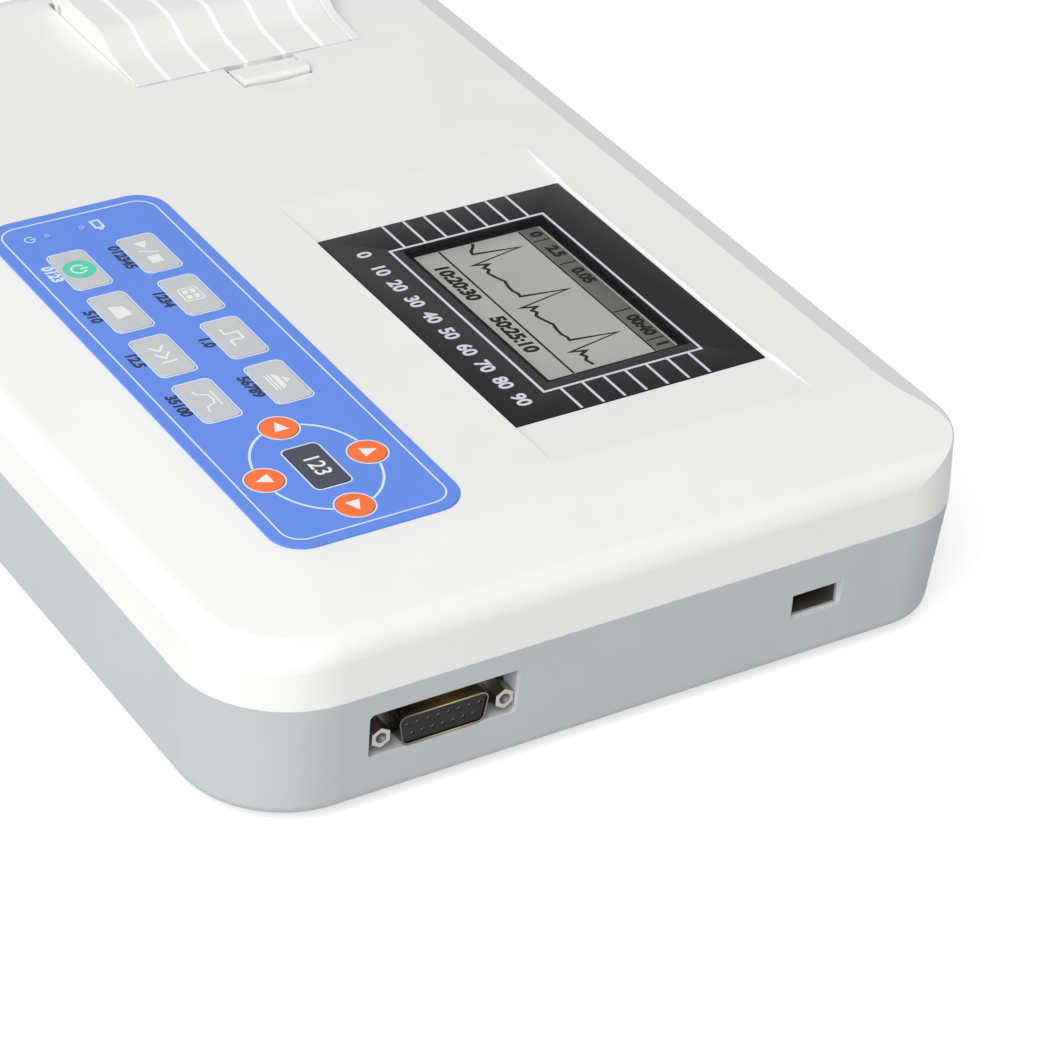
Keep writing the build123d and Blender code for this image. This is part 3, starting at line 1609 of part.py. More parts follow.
def mains_inlet_body():
    """Mains inlet: a flange on the panel and a deep shrouded cavity."""
    flange = RectangleRounded(inlet_flange_length, inlet_flange_height, flange_corner_radius)
    flange = Pos(inlet_x, panel_item_z) * flange
    body = prism_y(flange, panel_y, panel_y + inlet_flange_thickness)
    back = panel_y - inlet_body_depth
    body += prism_y(panel_rectangle(inlet_x, inlet_body_length, inlet_body_height, 0), back, panel_y)
    front = panel_y + inlet_flange_thickness
    body -= prism_y(inlet_cavity_sketch(), front - inlet_cavity_depth, front + past)
    for x, z in blade_places():
        body -= block(around(x, blade_width), (back - past, front), around(z, blade_height))
    return body


def blade_places():
    """X and Z of the inlet's three blades, the earth blade set higher."""
    places = [(x, panel_item_z - blade_offset_z) for x in (inlet_x - blade_spread, inlet_x + blade_spread)]
    places.append((inlet_x, panel_item_z + blade_offset_z))
    return places


def mains_inlet_blades():
    """Three brass blades through the back of the inlet."""
    floor_y = panel_y + inlet_flange_thickness - inlet_cavity_depth
    low = panel_y - inlet_body_depth - blade_tail
    blades = []
    for x, z in blade_places():
        blade = block(around(x, blade_width), (low, floor_y + blade_length), around(z, blade_height))
        tip = blade.faces().sort_by(Axis.Y)[-1]
        blades.append(chamfer(tip.edges(), blade_tip_chamfer))
    return group(blades)


def mains_switch_frame():
    """Bezel and body of the mains switch, open at the front for the rocker."""
    front = panel_y + switch_frame_thickness
    back = panel_y - switch_body_depth
    bezel = RectangleRounded(switch_frame_length, switch_frame_height, flange_corner_radius)
    frame = prism_y(Pos(switch_x, panel_item_z) * bezel, panel_y, front)
    frame += prism_y(panel_rectangle(switch_x, switch_body_length, switch_body_height, 0), back, panel_y)
    opening = panel_rectangle(switch_x, rocker_length, rocker_height, rocker_gap)
    return frame - prism_y(opening, panel_y - rocker_depth - rocker_proud, front + past)


def mains_switch_rocker():
    """Rocker with a dished face, tilted to its off side, on a cross pin."""
    half = rocker_length / 2
    front = switch_frame_thickness + rocker_proud
    sag = rocker_radius - (rocker_radius ** 2 - half ** 2) ** 0.5
    with BuildSketch() as outline:
        with BuildLine():
            Line((-half, -rocker_depth + sag), (-half, front))
            ThreePointArc((-half, front), (0, front - sag), (half, front))
            Line((half, front), (half, -rocker_depth + sag))
            Line((half, -rocker_depth + sag), (0, -rocker_depth))
            Line((0, -rocker_depth), (-half, -rocker_depth + sag))
        make_face()
    rocker = extrude(outline.sketch, amount=rocker_height / 2, both=True)
    rocker += Cylinder(rocker_pin_radius, rocker_height + rocker_gap)
    tilted = Rot(0, 0, rocker_tilt) * rocker
    return Pos(switch_x, panel_y, panel_item_z) * tilted


def fuse_places():
    """X of both fuse holders."""
    return (fuse_x, fuse_x + fuse_spacing)


def fuse_holders():
    """Two round fuse holders: a flange on the panel and a bored body behind it."""
    holders = []
    for x in fuse_places():
        holder = rod_y(x, panel_item_z, fuse_flange_radius, panel_y, panel_y + fuse_flange_thickness)
        holder += rod_y(x, panel_item_z, fuse_body_radius, panel_y - fuse_body_depth, panel_y)
        bore = fuse_plug_radius + fuse_plug_clearance
        depth = panel_y + fuse_flange_thickness - fuse_plug_length - fuse_cap_lift
        holder -= rod_y(x, panel_item_z, bore, depth, panel_y + fuse_flange_thickness + past)
        holders.append(holder)
    return group(holders)


def fuse_cap(x):
    """Fluted fuse cap with a coin slot and a plug that turns in the holder."""
    seat = panel_y + fuse_flange_thickness + fuse_cap_lift
    cap = rod_y(x, panel_item_z, fuse_cap_radius, seat, seat + fuse_cap_height)
    for index in range(fuse_flutes):
        turn = 2 * pi * index / fuse_flutes
        flute_x = x + fuse_cap_radius * cos(turn)
        flute_z = panel_item_z + fuse_cap_radius * sin(turn)
        cap -= rod_y(flute_x, flute_z, fuse_flute_radius, seat - past, seat + fuse_cap_height + past)
    top = seat + fuse_cap_height
    cap -= block(around(x, 2 * fuse_cap_radius), (top - fuse_slot_depth, top + past),
                 around(panel_item_z, fuse_slot_width))
    plug_end = panel_y + fuse_flange_thickness - fuse_plug_length
    return cap + rod_y(x, panel_item_z, fuse_plug_radius, plug_end, seat)


def ground_terminal():
    """Equipotential pin with its groove, nut and threaded shank."""
    start = panel_y + ground_nut_thickness
    nut = RegularPolygon(ground_nut_flat / 2, hexagon_sides, major_radius=False)
    pin = prism_y(Pos(ground_x, panel_item_z) * nut, panel_y, start)
    pin += rod_y(ground_x, panel_item_z, ground_neck_radius, start, start + ground_neck_length)
    tip = start + ground_pin_length - ground_nut_thickness
    pin += rod_y(ground_x, panel_item_z, ground_pin_radius, start + ground_neck_length, tip)
    pin += rod_y(ground_x, panel_item_z, ground_pin_radius, panel_y - ground_shank_length, panel_y)
    end_face = pin.faces().sort_by(Axis.Y)[-1]
    return chamfer(end_face.edges(), ground_tip_chamfer)


# Lower shell

def frame_post_places():
    """Posts under the printer chassis base."""
    inset = 2 * post_radius
    xs = (roll_x - roll_radius + post_radius, frame_right_x - post_radius)
    ys = (plate_front_y + inset, plate_rear_y + plate_thickness - inset)
    return [(x, y) for x in xs for y in ys]


def bottom_housing():
    """Grey lower shell with the socket recess, mains panel, battery bay, posts and feet recesses."""
    outer = lower_form(0)
    outer = fillet(level_edges(outer, foot_height), lower_edge_radius)
    below = block(grow((-right_x, right_x), past), grow((-rear_y, rear_y), past), (-past, floor_z))
    shell = outer - (lower_form(wall) - below)
    lip = case_outline(wall - lip_thickness) - case_outline(wall)
    shell += prism_z(lip, parting_z - past, parting_z + lip_height)

    shell += port_shroud_solid()
    shell -= port_cutters()
    shell -= usb_cutters()

    shroud = prism_y(panel_outline(panel_shroud), panel_y - panel_thickness, rear_y - lower_rear_inset)
    shell += shroud & outer
    shell -= prism_y(panel_outline(0), panel_y, rear_y + past)
    shell -= panel_hole_cutters()

    shell += battery_bay_solid()
    shell -= battery_bay_cutters()

    below_z = foot_height - past
    for x, y in post_places():
        shell += rod_z(x, y, post_radius, floor_z - past, parting_z - post_joint_gap)
        shell -= rod_z(x, y, post_hole_radius, below_z, parting_z + past)
        shell -= rod_z(x, y, screw_counterbore_radius, below_z, foot_height + screw_counterbore_depth)
    for x, y in foot_places():
        shell -= rod_z(x, y, foot_radius + foot_clearance, below_z, foot_height + foot_recess_depth)
    for x, y in board_hole_places(*main_board_spans()):
        shell += rod_z(x, y, post_radius, floor_z - past, main_board_low_z)
    for x, y in board_hole_places(*power_board_spans()):
        shell += rod_z(x, y, post_radius, floor_z - past, power_board_low_z)
    for x, y in frame_post_places():
        shell += rod_z(x, y, post_radius, floor_z - past, frame_bottom_z)
    return shell


def rubber_feet():
    """Four round rubber feet in their recesses."""
    feet = []
    for x, y in foot_places():
        foot = rod_z(x, y, foot_radius, 0, foot_height + foot_recess_depth)
        feet.append(fillet(level_edges(foot, 0), foot_edge_radius))
    return group(feet)


def screw_at(x, y, head_low, head_height, tip):
    """Pan-head screw that points up, with a cross recess in its head."""
    head = rod_z(x, y, screw_head_radius, head_low, head_low + head_height)
    head = fillet(level_edges(head, head_low), screw_head_edge)
    recess = (head_low - past, head_low + head_height / 2)
    head -= block(around(x, screw_slot_length), around(y, screw_slot_width), recess)
    head -= block(around(x, screw_slot_width), around(y, screw_slot_length), recess)
    return head + rod_z(x, y, screw_radius, head_low + head_height, tip)


def case_screws():
    """Six screws that hold the two shells together from below, and two for the battery door."""
    head_low = foot_height + screw_counterbore_depth - screw_head_height
    tip = parting_z + screw_grip_in_upper
    screws = [screw_at(x, y, head_low, screw_head_height, tip) for x, y in post_places()]
    tip = bay_roof_z() - 2 * wall
    screws += [screw_at(x, y, foot_height, battery_screw_recess, tip) for x, y in battery_screw_places()]
    return group(screws)


def all_nodes():
    """Every node's name with the function that makes it."""
    nodes = {
        "top_housing": top_housing, "bottom_housing": bottom_housing, "display_window": display_window,
        "lcd_frame": lcd_frame, "lcd_glass": lcd_glass, "lcd_board": lcd_board,
        "keypad_overlay": keypad_overlay, "keypad_board": keypad_board, "status_lamps": status_lamps,
        "paper_door": paper_door, "door_latch": door_latch, "door_hinge_pins": door_hinge_pins,
        "printer_frame": printer_frame, "platen_roller": platen_roller, "platen_shaft": platen_shaft,
        "platen_bushes": platen_bushes, "platen_gear": platen_gear, "idler_gear": idler_gear,
        "motor_pinion": motor_pinion, "stepper_motor": stepper_motor, "print_head": print_head,
        "head_spring": head_spring, "tear_bar": tear_bar, "paper_roll": paper_roll,
        "roll_spindle": roll_spindle, "patient_port_shell": patient_port_shell,
        "patient_port_insert": patient_port_insert, "patient_port_jackscrews": patient_port_jackscrews,
        "usb_socket_shell": usb_socket_shell, "usb_socket_tongue": usb_socket_tongue,
        "main_board": main_board, "beeper": beeper, "power_board": power_board,
        "transformer_core": transformer_core, "transformer_winding": transformer_winding,
        "battery_pack": battery_pack, "battery_door": battery_door, "mains_inlet_body": mains_inlet_body,
        "mains_inlet_blades": mains_inlet_blades, "mains_switch_frame": mains_switch_frame,
        "mains_switch_rocker": mains_switch_rocker, "fuse_holders": fuse_holders,
        "ground_terminal": ground_terminal, "rubber_feet": rubber_feet, "case_screws": case_screws,
    }
    for name in key_layout():
        nodes[name] = lambda name=name: key_piece(name)
    left_x, right_fuse_x = fuse_places()
    nodes["fuse_cap_left"] = lambda: fuse_cap(left_x)
    nodes["fuse_cap_right"] = lambda: fuse_cap(right_fuse_x)
    return nodes


os.makedirs("parts", exist_ok=True)
for node_name, make_node in all_nodes().items():
    export_step(make_node(), f"parts/{node_name}.step")
    print(node_name)
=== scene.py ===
import json
import math

import bmesh
import bpy
from mathutils import Matrix, Vector


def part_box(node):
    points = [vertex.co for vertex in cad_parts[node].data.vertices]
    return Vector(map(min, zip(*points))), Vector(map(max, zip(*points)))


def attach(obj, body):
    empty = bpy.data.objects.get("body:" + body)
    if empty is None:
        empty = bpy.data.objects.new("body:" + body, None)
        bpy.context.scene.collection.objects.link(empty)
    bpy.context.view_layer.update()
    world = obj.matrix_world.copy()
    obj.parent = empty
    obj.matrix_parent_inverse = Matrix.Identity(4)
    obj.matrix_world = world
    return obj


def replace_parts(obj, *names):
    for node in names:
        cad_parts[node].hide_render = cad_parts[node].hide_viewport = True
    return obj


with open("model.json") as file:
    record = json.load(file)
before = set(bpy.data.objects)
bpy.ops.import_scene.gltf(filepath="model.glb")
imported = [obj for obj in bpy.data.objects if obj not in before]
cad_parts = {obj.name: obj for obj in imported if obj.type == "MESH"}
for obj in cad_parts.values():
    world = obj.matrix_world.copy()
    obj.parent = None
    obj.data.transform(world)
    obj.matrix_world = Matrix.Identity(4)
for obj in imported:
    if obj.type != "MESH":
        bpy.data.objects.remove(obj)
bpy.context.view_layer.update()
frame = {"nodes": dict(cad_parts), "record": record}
mm = 0.001
print("frame loaded:", len(frame["nodes"]), "nodes")


# camera, where the photographer stood
cameraView = {
    "place": (0.7629, -0.4456, 0.5649),
    "turn": (55.8137, -3.7538, 58.1549),  # degrees
    "sensor": 36.0,
    "lens": 133.06,
    "shiftX": 0.00425,
    "shiftY": -0.0013,
    "nearest": 0.01,
}


def addCamera(view):
    data = bpy.data.cameras.new("camera")
    data.sensor_width = view["sensor"]
    data.lens = view["lens"]
    data.shift_x = view["shiftX"]
    data.shift_y = view["shiftY"]
    data.clip_start = view["nearest"]
    camera = bpy.data.objects.new("camera", data)
    camera.location = view["place"]
    camera.rotation_euler = [math.radians(angle) for angle in view["turn"]]
    bpy.context.scene.collection.objects.link(camera)
    bpy.context.scene.camera = camera


addCamera(cameraView)


# shader nodes that the world, the floor and the finishes share
def feed(tree, entry, value):
    # the value is a constant or the output of another node
    if isinstance(value, bpy.types.NodeSocket):
        tree.links.new(value, entry)
    else:
        entry.default_value = value


def addMath(tree, operation, *values):
    node = tree.nodes.new("ShaderNodeMath")
    node.operation = operation
    for entry, value in zip(node.inputs, values):
        feed(tree, entry, value)
    return node.outputs[0]


def addMix(tree, factor, first, second):
    node = tree.nodes.new("ShaderNodeMix")
    node.data_type = "RGBA"
    for name, value in (("Factor", factor), ("A", first), ("B", second)):
        feed(tree, node.inputs[name], value)
    return node.outputs["Result"]


def addRange(tree, value, low, high, reach=1.0):
    # turns 0 to reach into low to high
    node = tree.nodes.new("ShaderNodeMapRange")
    node.inputs["From Max"].default_value = reach
    node.inputs["To Min"].default_value = low
    node.inputs["To Max"].default_value = high
    tree.links.new(value, node.inputs["Value"])
    return node.outputs["Result"]


# soft studio light over white paper
studio = {
    "keyFrom": (0.355, -0.58, 0.61),  # direction that the key light comes from
    "keyDistance": 3.2,
    "keySize": 3.4,
    "keyPower": 98.5,
    "ambient": 0.535,
    "backdrop": 1.0,
    "floorReach": 6.0,
    "floorColor": (0.66, 0.66, 0.66),
    "floorGlow": 0.56,
}


def addKeyLight(light):
    direction = Vector(light["keyFrom"]).normalized()
    data = bpy.data.lights.new("keyLight", "AREA")
    data.shape = "DISK"
    data.size = light["keySize"]
    data.energy = light["keyPower"]
    lamp = bpy.data.objects.new("keyLight", data)
    lamp.location = direction * light["keyDistance"]
    lamp.rotation_euler = direction.to_track_quat("Z", "Y").to_euler()
    bpy.context.scene.collection.objects.link(lamp)


def addWorld(light):
    # white where the camera, a reflection or a clear sheet looks at it, dimmer as a light
    world = bpy.data.worlds.new("studioWorld")
    world.use_nodes = True
    tree = world.node_tree
    tree.nodes.clear()
    path = tree.nodes.new("ShaderNodeLightPath").outputs
    seen = addMath(tree, "MAXIMUM", path["Is Camera Ray"], path["Is Glossy Ray"])
    seen = addMath(tree, "MAXIMUM", seen, path["Is Transmission Ray"])
    mix = tree.nodes.new("ShaderNodeMixShader")
    tree.links.new(seen, mix.inputs["Fac"])
    for index, strength in ((1, light["ambient"]), (2, light["backdrop"])):
        background = tree.nodes.new("ShaderNodeBackground")
        background.inputs["Strength"].default_value = strength
        tree.links.new(background.outputs[0], mix.inputs[index])
    output = tree.nodes.new("ShaderNodeOutputWorld")
    tree.links.new(mix.outputs[0], output.inputs["Surface"])
    bpy.context.scene.world = world


def makeFloorPaper(light):
    # paper that catches the shadow and glows a little for the camera
    material = bpy.data.materials.new("floorPaper")
    material.use_nodes = True
    tree = material.node_tree
    tree.nodes.clear()
    path = tree.nodes.new("ShaderNodeLightPath").outputs
    seen = addMath(tree, "MAXIMUM", path["Is Camera Ray"], path["Is Glossy Ray"])
    glow = tree.nodes.new("ShaderNodeEmission")
    tree.links.new(addMath(tree, "MULTIPLY", seen, light["floorGlow"]), glow.inputs["Strength"])
    diffuse = tree.nodes.new("ShaderNodeBsdfDiffuse")
    diffuse.inputs["Color"].default_value = (*light["floorColor"], 1)
    both = tree.nodes.new("ShaderNodeAddShader")
    tree.links.new(diffuse.outputs[0], both.inputs[0])
    tree.links.new(glow.outputs[0], both.inputs[1])
    output = tree.nodes.new("ShaderNodeOutputMaterial")
    tree.links.new(both.outputs[0], output.inputs["Surface"])
    return material


def addFloor(light):
    mesh = bpy.data.meshes.new("floor")
    reach = light["floorReach"]
    corners = [(-reach, -reach, 0), (reach, -reach, 0), (reach, reach, 0), (-reach, reach, 0)]
    mesh.from_pydata(corners, [], [(0, 1, 2, 3)])
    mesh.materials.append(makeFloorPaper(light))
    floor = bpy.data.objects.new("floor", mesh)
    bpy.context.scene.collection.objects.link(floor)


addKeyLight(studio)
addWorld(studio)
addFloor(studio)
bpy.context.scene.view_settings.view_transform = "Standard"
print("camera, light and floor set")


# finishes, one for each material slot of the record, then those of printed and small pieces
# grain or brushed is the strength of fine bumps, size their width in millimetres, tint the drift of color
finishes = {
    "white_shell": {"color": (0.865, 0.865, 0.853), "roughness": 0.48, "specular": 0.3,
                    "grain": 0.35, "size": 0.5, "tint": 0.025},
    "grey_shell": {"color": (0.53, 0.567, 0.583), "roughness": 0.55, "specular": 0.2,
                   "grain": 0.6, "size": 0.45, "tint": 0.035},
    "window_sheet": {"color": (0.011, 0.011, 0.013), "roughness": 0.3, "specular": 0.15,
                     "grain": 0.05, "size": 0.3},
    "bare_steel": {"color": (0.72, 0.71, 0.69), "roughness": 0.22, "metallic": 1.0,
                   "brushed": 0.5, "size": 0.2},
    "lcd_glass": {"color": (0.64, 0.64, 0.60), "roughness": 0.35, "size": 0.2, "tint": 0.12},
    "green_board": {"color": (0.02, 0.19, 0.075), "roughness": 0.35,
                    "grain": 0.3, "size": 1.4, "traces": 0.6},
    "overlay_blue": {"color": (0.115, 0.265, 0.82), "roughness": 0.5,
                     "grain": 0.3, "size": 0.18, "tint": 0.03},
    "key_grey": {"color": (0.575, 0.59, 0.605), "roughness": 0.5,
                 "grain": 0.3, "size": 0.18, "tint": 0.05},
    "key_orange": {"color": (1.0, 0.165, 0.022), "roughness": 0.45,
                   "grain": 0.3, "size": 0.18, "tint": 0.03},
    "key_dark": {"color": (0.045, 0.05, 0.08), "roughness": 0.5,
                 "grain": 0.3, "size": 0.18, "tint": 0.05},
    "lamp_clear": {"color": (0.24, 0.42, 0.82), "roughness": 0.15, "size": 0.3},
    "black_plastic": {"color": (0.012, 0.012, 0.013), "roughness": 0.45, "specular": 0.2,
                      "grain": 0.4, "size": 0.4, "tint": 0.2},
    "white_plastic": {"color": (0.8, 0.79, 0.75), "roughness": 0.35,
                      "grain": 0.15, "size": 0.6, "tint": 0.03},
    "rubber_black": {"color": (0.03, 0.03, 0.031), "roughness": 0.8,
                     "grain": 0.8, "size": 0.35, "tint": 0.25},
    "grey_rubber": {"color": (0.12, 0.12, 0.13), "roughness": 0.75,
                    "grain": 0.5, "size": 0.25, "tint": 0.15},
    "aluminium_sink": {"color": (0.75, 0.75, 0.77), "roughness": 0.3, "metallic": 1.0,
                       "brushed": 0.6, "size": 0.25},
    "brass_nickel": {"color": (0.74, 0.69, 0.56), "roughness": 0.22, "metallic": 1.0,
                     "brushed": 0.4, "size": 0.2},
    "paper_white": {"color": (0.9, 0.89, 0.86), "roughness": 0.75,
                    "grain": 0.5, "size": 0.25, "tint": 0.02},
    "core_steel": {"color": (0.2, 0.2, 0.21), "roughness": 0.5, "metallic": 0.6,
                   "brushed": 1.0, "size": 0.6},
    "copper_winding": {"color": (0.62, 0.26, 0.07), "roughness": 0.32, "metallic": 0.6,
                       "brushed": 1.0, "size": 0.5},
    "battery_wrap": {"color": (0.05, 0.12, 0.3), "roughness": 0.3,
                     "grain": 0.2, "size": 1.5, "tint": 0.1},
    "post_metal": {"color": (0.44, 0.41, 0.37), "roughness": 0.3, "metallic": 1.0,
                   "brushed": 0.5, "size": 0.15},
    "socket_tin": {"color": (0.34, 0.32, 0.26), "roughness": 0.35, "metallic": 0.85,
                   "brushed": 0.4, "size": 0.2},
    "contact_gold": {"color": (0.30, 0.27, 0.22), "roughness": 0.4, "metallic": 0.5,
                     "brushed": 0.3, "size": 0.1},
    # the port metal's dark base colour is painted shade, standing in for the dark reflections deep in the
    # socket recess
    "port_metal_painted_shade": {"color": (0.13, 0.12, 0.105), "roughness": 0.27, "metallic": 1.0,
                   "brushed": 0.4, "size": 0.2,
                   "band": {"y": -47.0, "half": 12.0, "color": (0.46, 0.37, 0.17)}},
    "black_paint": {"color": (0.009, 0.009, 0.010), "roughness": 0.5, "specular": 0.06,
                    "grain": 0.3, "size": 0.3},
    "printPale": {"color": (0.72, 0.83, 0.95), "roughness": 0.5, "grain": 0.2, "size": 0.2},
    "printWhite": {"color": (0.88, 0.88, 0.87), "roughness": 0.5, "grain": 0.2, "size": 0.2},
    "printNavy": {"color": (0.004, 0.012, 0.06), "roughness": 0.5, "grain": 0.2, "size": 0.2},
    "printLilac": {"color": (0.66, 0.66, 0.74), "roughness": 0.45, "grain": 0.2, "size": 0.2},
    "printRose": {"color": (0.85, 0.45, 0.42), "roughness": 0.7, "grain": 0.3, "size": 0.3},
    "printMint": {"color": (0.085, 0.64, 0.45), "roughness": 0.5, "grain": 0.2, "size": 0.2},
    "printIcon": {"color": (0.86, 0.87, 0.86), "roughness": 0.5, "grain": 0.2, "size": 0.2},
    "screenDark": {"color": (0.012, 0.012, 0.010), "roughness": 0.4, "specular": 0.1, "size": 0.2},
    "screenShade": {"color": (0.20, 0.20, 0.185), "roughness": 0.4, "specular": 0.2, "size": 0.2},
}
# nodes whose finish differs from that of their material slot
nodeFinish = {
    "lcd_frame": "black_paint",
    # the socket shell takes the port metal, darkened with painted shade for its recess
    "patient_port_shell": "port_metal_painted_shade",
    "patient_port_jackscrews": "post_metal",
    "usb_socket_shell": "socket_tin",
}
# how every finish varies over its surface, sizes in millimetres
unevenness = {
    "cloudSize": 22.0,
    "tint": 0.02,
    "glossSize": 3.5,
    "glossSwing": 0.1,
    "fineDetail": 3.0,
    "brushStretch": (0.06, 1, 1),
    "brushDepth": 0.004,
    "grainDepth": 0.012,
}
# copper tracks under the solder mask, as a net of straight lighter lines
tracks = {
    "pitch": 9.0,
    "width": 0.035,  # share of the pitch
    "gain": 2.2,
    "lift": 0.01,
}
# the clear middle of the display window
clearSheet = {
    "color": (0.03, 0.035, 0.035),
    "roughness": 0.08,
    "alpha": 0.10,
    "specular": 0.12,
}


def addNoise(tree, place, size, detail=2.0, stretch=(1, 1, 1)):
    mapping = tree.nodes.new("ShaderNodeMapping")
    mapping.inputs["Scale"].default_value = stretch
    tree.links.new(place, mapping.inputs["Vector"])
    noise = tree.nodes.new("ShaderNodeTexNoise")
    noise.inputs["Scale"].default_value = 1.0 / (size * mm)
    noise.inputs["Detail"].default_value = detail
    tree.links.new(mapping.outputs["Vector"], noise.inputs["Vector"])
    return noise.outputs["Fac"]


def scaled(color, gain, lift=0.0):
    return (*[min(1.0, part * gain + lift) for part in color], 1)


def addTracks(tree, place, base, look):
    bricks = tree.nodes.new("ShaderNodeTexBrick")
    bricks.inputs["Scale"].default_value = 1.0 / (tracks["pitch"] * mm)
    bricks.inputs["Mortar Size"].default_value = tracks["width"]
    for name, level in (("Color1", 0), ("Color2", 0), ("Mortar", 1)):
        bricks.inputs[name].default_value = (level, level, level, 1)
    tree.links.new(place, bricks.inputs["Vector"])
    level = addMath(tree, "MULTIPLY", bricks.outputs["Color"], look["traces"])
    return addMix(tree, level, base, scaled(look["color"], tracks["gain"], tracks["lift"]))


def addBand(tree, place, base, band):
    # a yellow band that is strongest half way along the piece
    split = tree.nodes.new("ShaderNodeSeparateXYZ")
    tree.links.new(place, split.inputs[0])
    away = addMath(tree, "SUBTRACT", split.outputs["Y"], band["y"] * mm)
    level = addRange(tree, addMath(tree, "ABSOLUTE", away), 1.0, 0.0, band["half"] * mm)
    return addMix(tree, level, base, (*band["color"], 1))


def addGrain(tree, place, look, normal):
    # fine bumps, drawn out into streaks on brushed metal
    brushed = look.get("brushed", 0.0)
    strength = brushed or look.get("grain", 0.0)
    if not strength:
        return
    stretch = unevenness["brushStretch"] if brushed else (1, 1, 1)
    depth = unevenness["brushDepth"] if brushed else unevenness["grainDepth"]
    bump = tree.nodes.new("ShaderNodeBump")
    bump.inputs["Strength"].default_value = strength
    bump.inputs["Distance"].default_value = depth * mm
    grain = addNoise(tree, place, look["size"], unevenness["fineDetail"], stretch)
    tree.links.new(grain, bump.inputs["Height"])
    tree.links.new(bump.outputs["Normal"], normal)


def makeFinish(name, look):
    material = bpy.data.materials.new(name)
    material.use_nodes = True
    tree = material.node_tree
    inputs = tree.nodes["Principled BSDF"].inputs
    color, rough = look["color"], look["roughness"]
    inputs["Base Color"].default_value = (*color, 1)
    inputs["Roughness"].default_value = rough
    inputs["Metallic"].default_value = look.get("metallic", 0.0)
    inputs["Specular IOR Level"].default_value = look.get("specular", 0.5)
    place = tree.nodes.new("ShaderNodeTexCoord").outputs["Object"]

    # slow drift of tint, then a finer one of gloss
    tint = look.get("tint", unevenness["tint"])
    cloud = addNoise(tree, place, unevenness["cloudSize"])
    base = addMix(tree, cloud, scaled(color, 1 - tint), scaled(color, 1 + tint))
    if look.get("traces"):
        base = addTracks(tree, place, base, look)
    if look.get("band"):
        base = addBand(tree, place, base, look["band"])
    tree.links.new(base, inputs["Base Color"])
    gloss = addNoise(tree, place, unevenness["glossSize"], unevenness["fineDetail"])
    swing = unevenness["glossSwing"]
    level = addRange(tree, gloss, rough * (1 - swing), min(1.0, rough * (1 + swing)))
    tree.links.new(level, inputs["Roughness"])
    addGrain(tree, place, look, inputs["Normal"])
    return material


def makeClearSheet(look):
    material = bpy.data.materials.new("clearSheet")
    material.use_nodes = True
    inputs = material.node_tree.nodes["Principled BSDF"].inputs
    inputs["Base Color"].default_value = (*look["color"], 1)
    inputs["Roughness"].default_value = look["roughness"]
    inputs["Alpha"].default_value = look["alpha"]
    inputs["Specular IOR Level"].default_value = look["specular"]
    return material


record = frame["record"]
slotOf = {part["node"]: part["material_slot"] for part in record["subparts"]}
bodyOf = {node: body for body, nodes in record["behaviour"]["bodies"].items() for node in nodes}
materials = {name: makeFinish(name, look) for name, look in finishes.items()}
materials["clearSheet"] = makeClearSheet(clearSheet)
for nodeName, node in frame["nodes"].items():
    node.data.materials.clear()
    node.data.materials.append(materials[nodeFinish.get(nodeName, slotOf[nodeName])])
print("finishes made")


# drawing in millimetres, in the shared frame: closed loops become flat prints or slabs
drawing = {
    "inkHalf": 0.012,  # half the thickness of printed ink
    "inkLift": 0.004,  # gap that keeps ink off its surface
    "wordWeight": 0.012,  # share of a word's height
    "leastRadius": 0.05,
    "leastMitre": 0.35,
    "nearZero": 1e-6,
    "edgeSteps": 2,
    "letterSteps": 4,
    "weld": 0.0005,
    "sharpAngle": 32,  # degrees
}


def spans(node):
    low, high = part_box(node)
    return [(low[axis] / mm, high[axis] / mm) for axis in range(3)]


def centre(node):
    return tuple((low + high) / 2 for low, high in spans(node))


def footprint(node):
    # middle and size, seen from above
    (left, right), (front, rear), _ = spans(node)
    return ((left + right) / 2, (front + rear) / 2), (right - left, rear - front)


def roundedLoop(middle, size, radius, steps=8):
    x, y = middle
    halfX, halfY = size[0] / 2 - radius, size[1] / 2 - radius
    corners = ((halfX, halfY, 0), (-halfX, halfY, 90), (-halfX, -halfY, 180), (halfX, -halfY, 270))
    points = []
    for cornerX, cornerY, start in corners:
        for step in range(steps + 1):
            angle = math.radians(start + 90 * step / steps)
            points.append((x + cornerX + radius * math.cos(angle), y + cornerY + radius * math.sin(angle)))
    return points


def roundLoop(middle, radius, steps=48):
    angles = [2 * math.pi * step / steps for step in range(steps)]
    return [(middle[0] + radius * math.cos(angle), middle[1] + radius * math.sin(angle)) for angle in angles]


def ringLoops(middle, size, radius, line):
    inner = (size[0] - 2 * line, size[1] - 2 * line)
    innerRadius = max(drawing["leastRadius"], radius - line)
    return [roundedLoop(middle, size, radius), roundedLoop(middle, inner, innerRadius)[::-1]]


def boxLoop(xSpan, ySpan):
    return [(xSpan[0], ySpan[0]), (xSpan[1], ySpan[0]), (xSpan[1], ySpan[1]), (xSpan[0], ySpan[1])]


def strokeLoop(points, line):
    # a line of even width along open points, mitred at its bends
    left, right = [], []
    for index, point in enumerate(points):
        before = Vector(points[max(0, index - 1)])
        after = Vector(points[min(len(points) - 1, index + 1)])
        here = Vector(point)
        into = (here - before).normalized() if index else (after - here).normalized()
        out = (after - here).normalized() if index < len(points) - 1 else into
        across = Vector((-into.y, into.x))
        side = Vector((-(into + out).y, (into + out).x))
        side = side.normalized() if side.length > drawing["nearZero"] else across
        reach = line / 2 / max(drawing["leastMitre"], side.dot(across))
        left.append(tuple(here + side * reach))
        right.append(tuple(here - side * reach))
    return left + right[::-1]


def arcPoints(middle, radius, start, end, steps):
    angles = [math.radians(start + (end - start) * step / steps) for step in range(steps + 1)]
    return [(middle[0] + radius * math.cos(angle), middle[1] + radius * math.sin(angle)) for angle in angles]


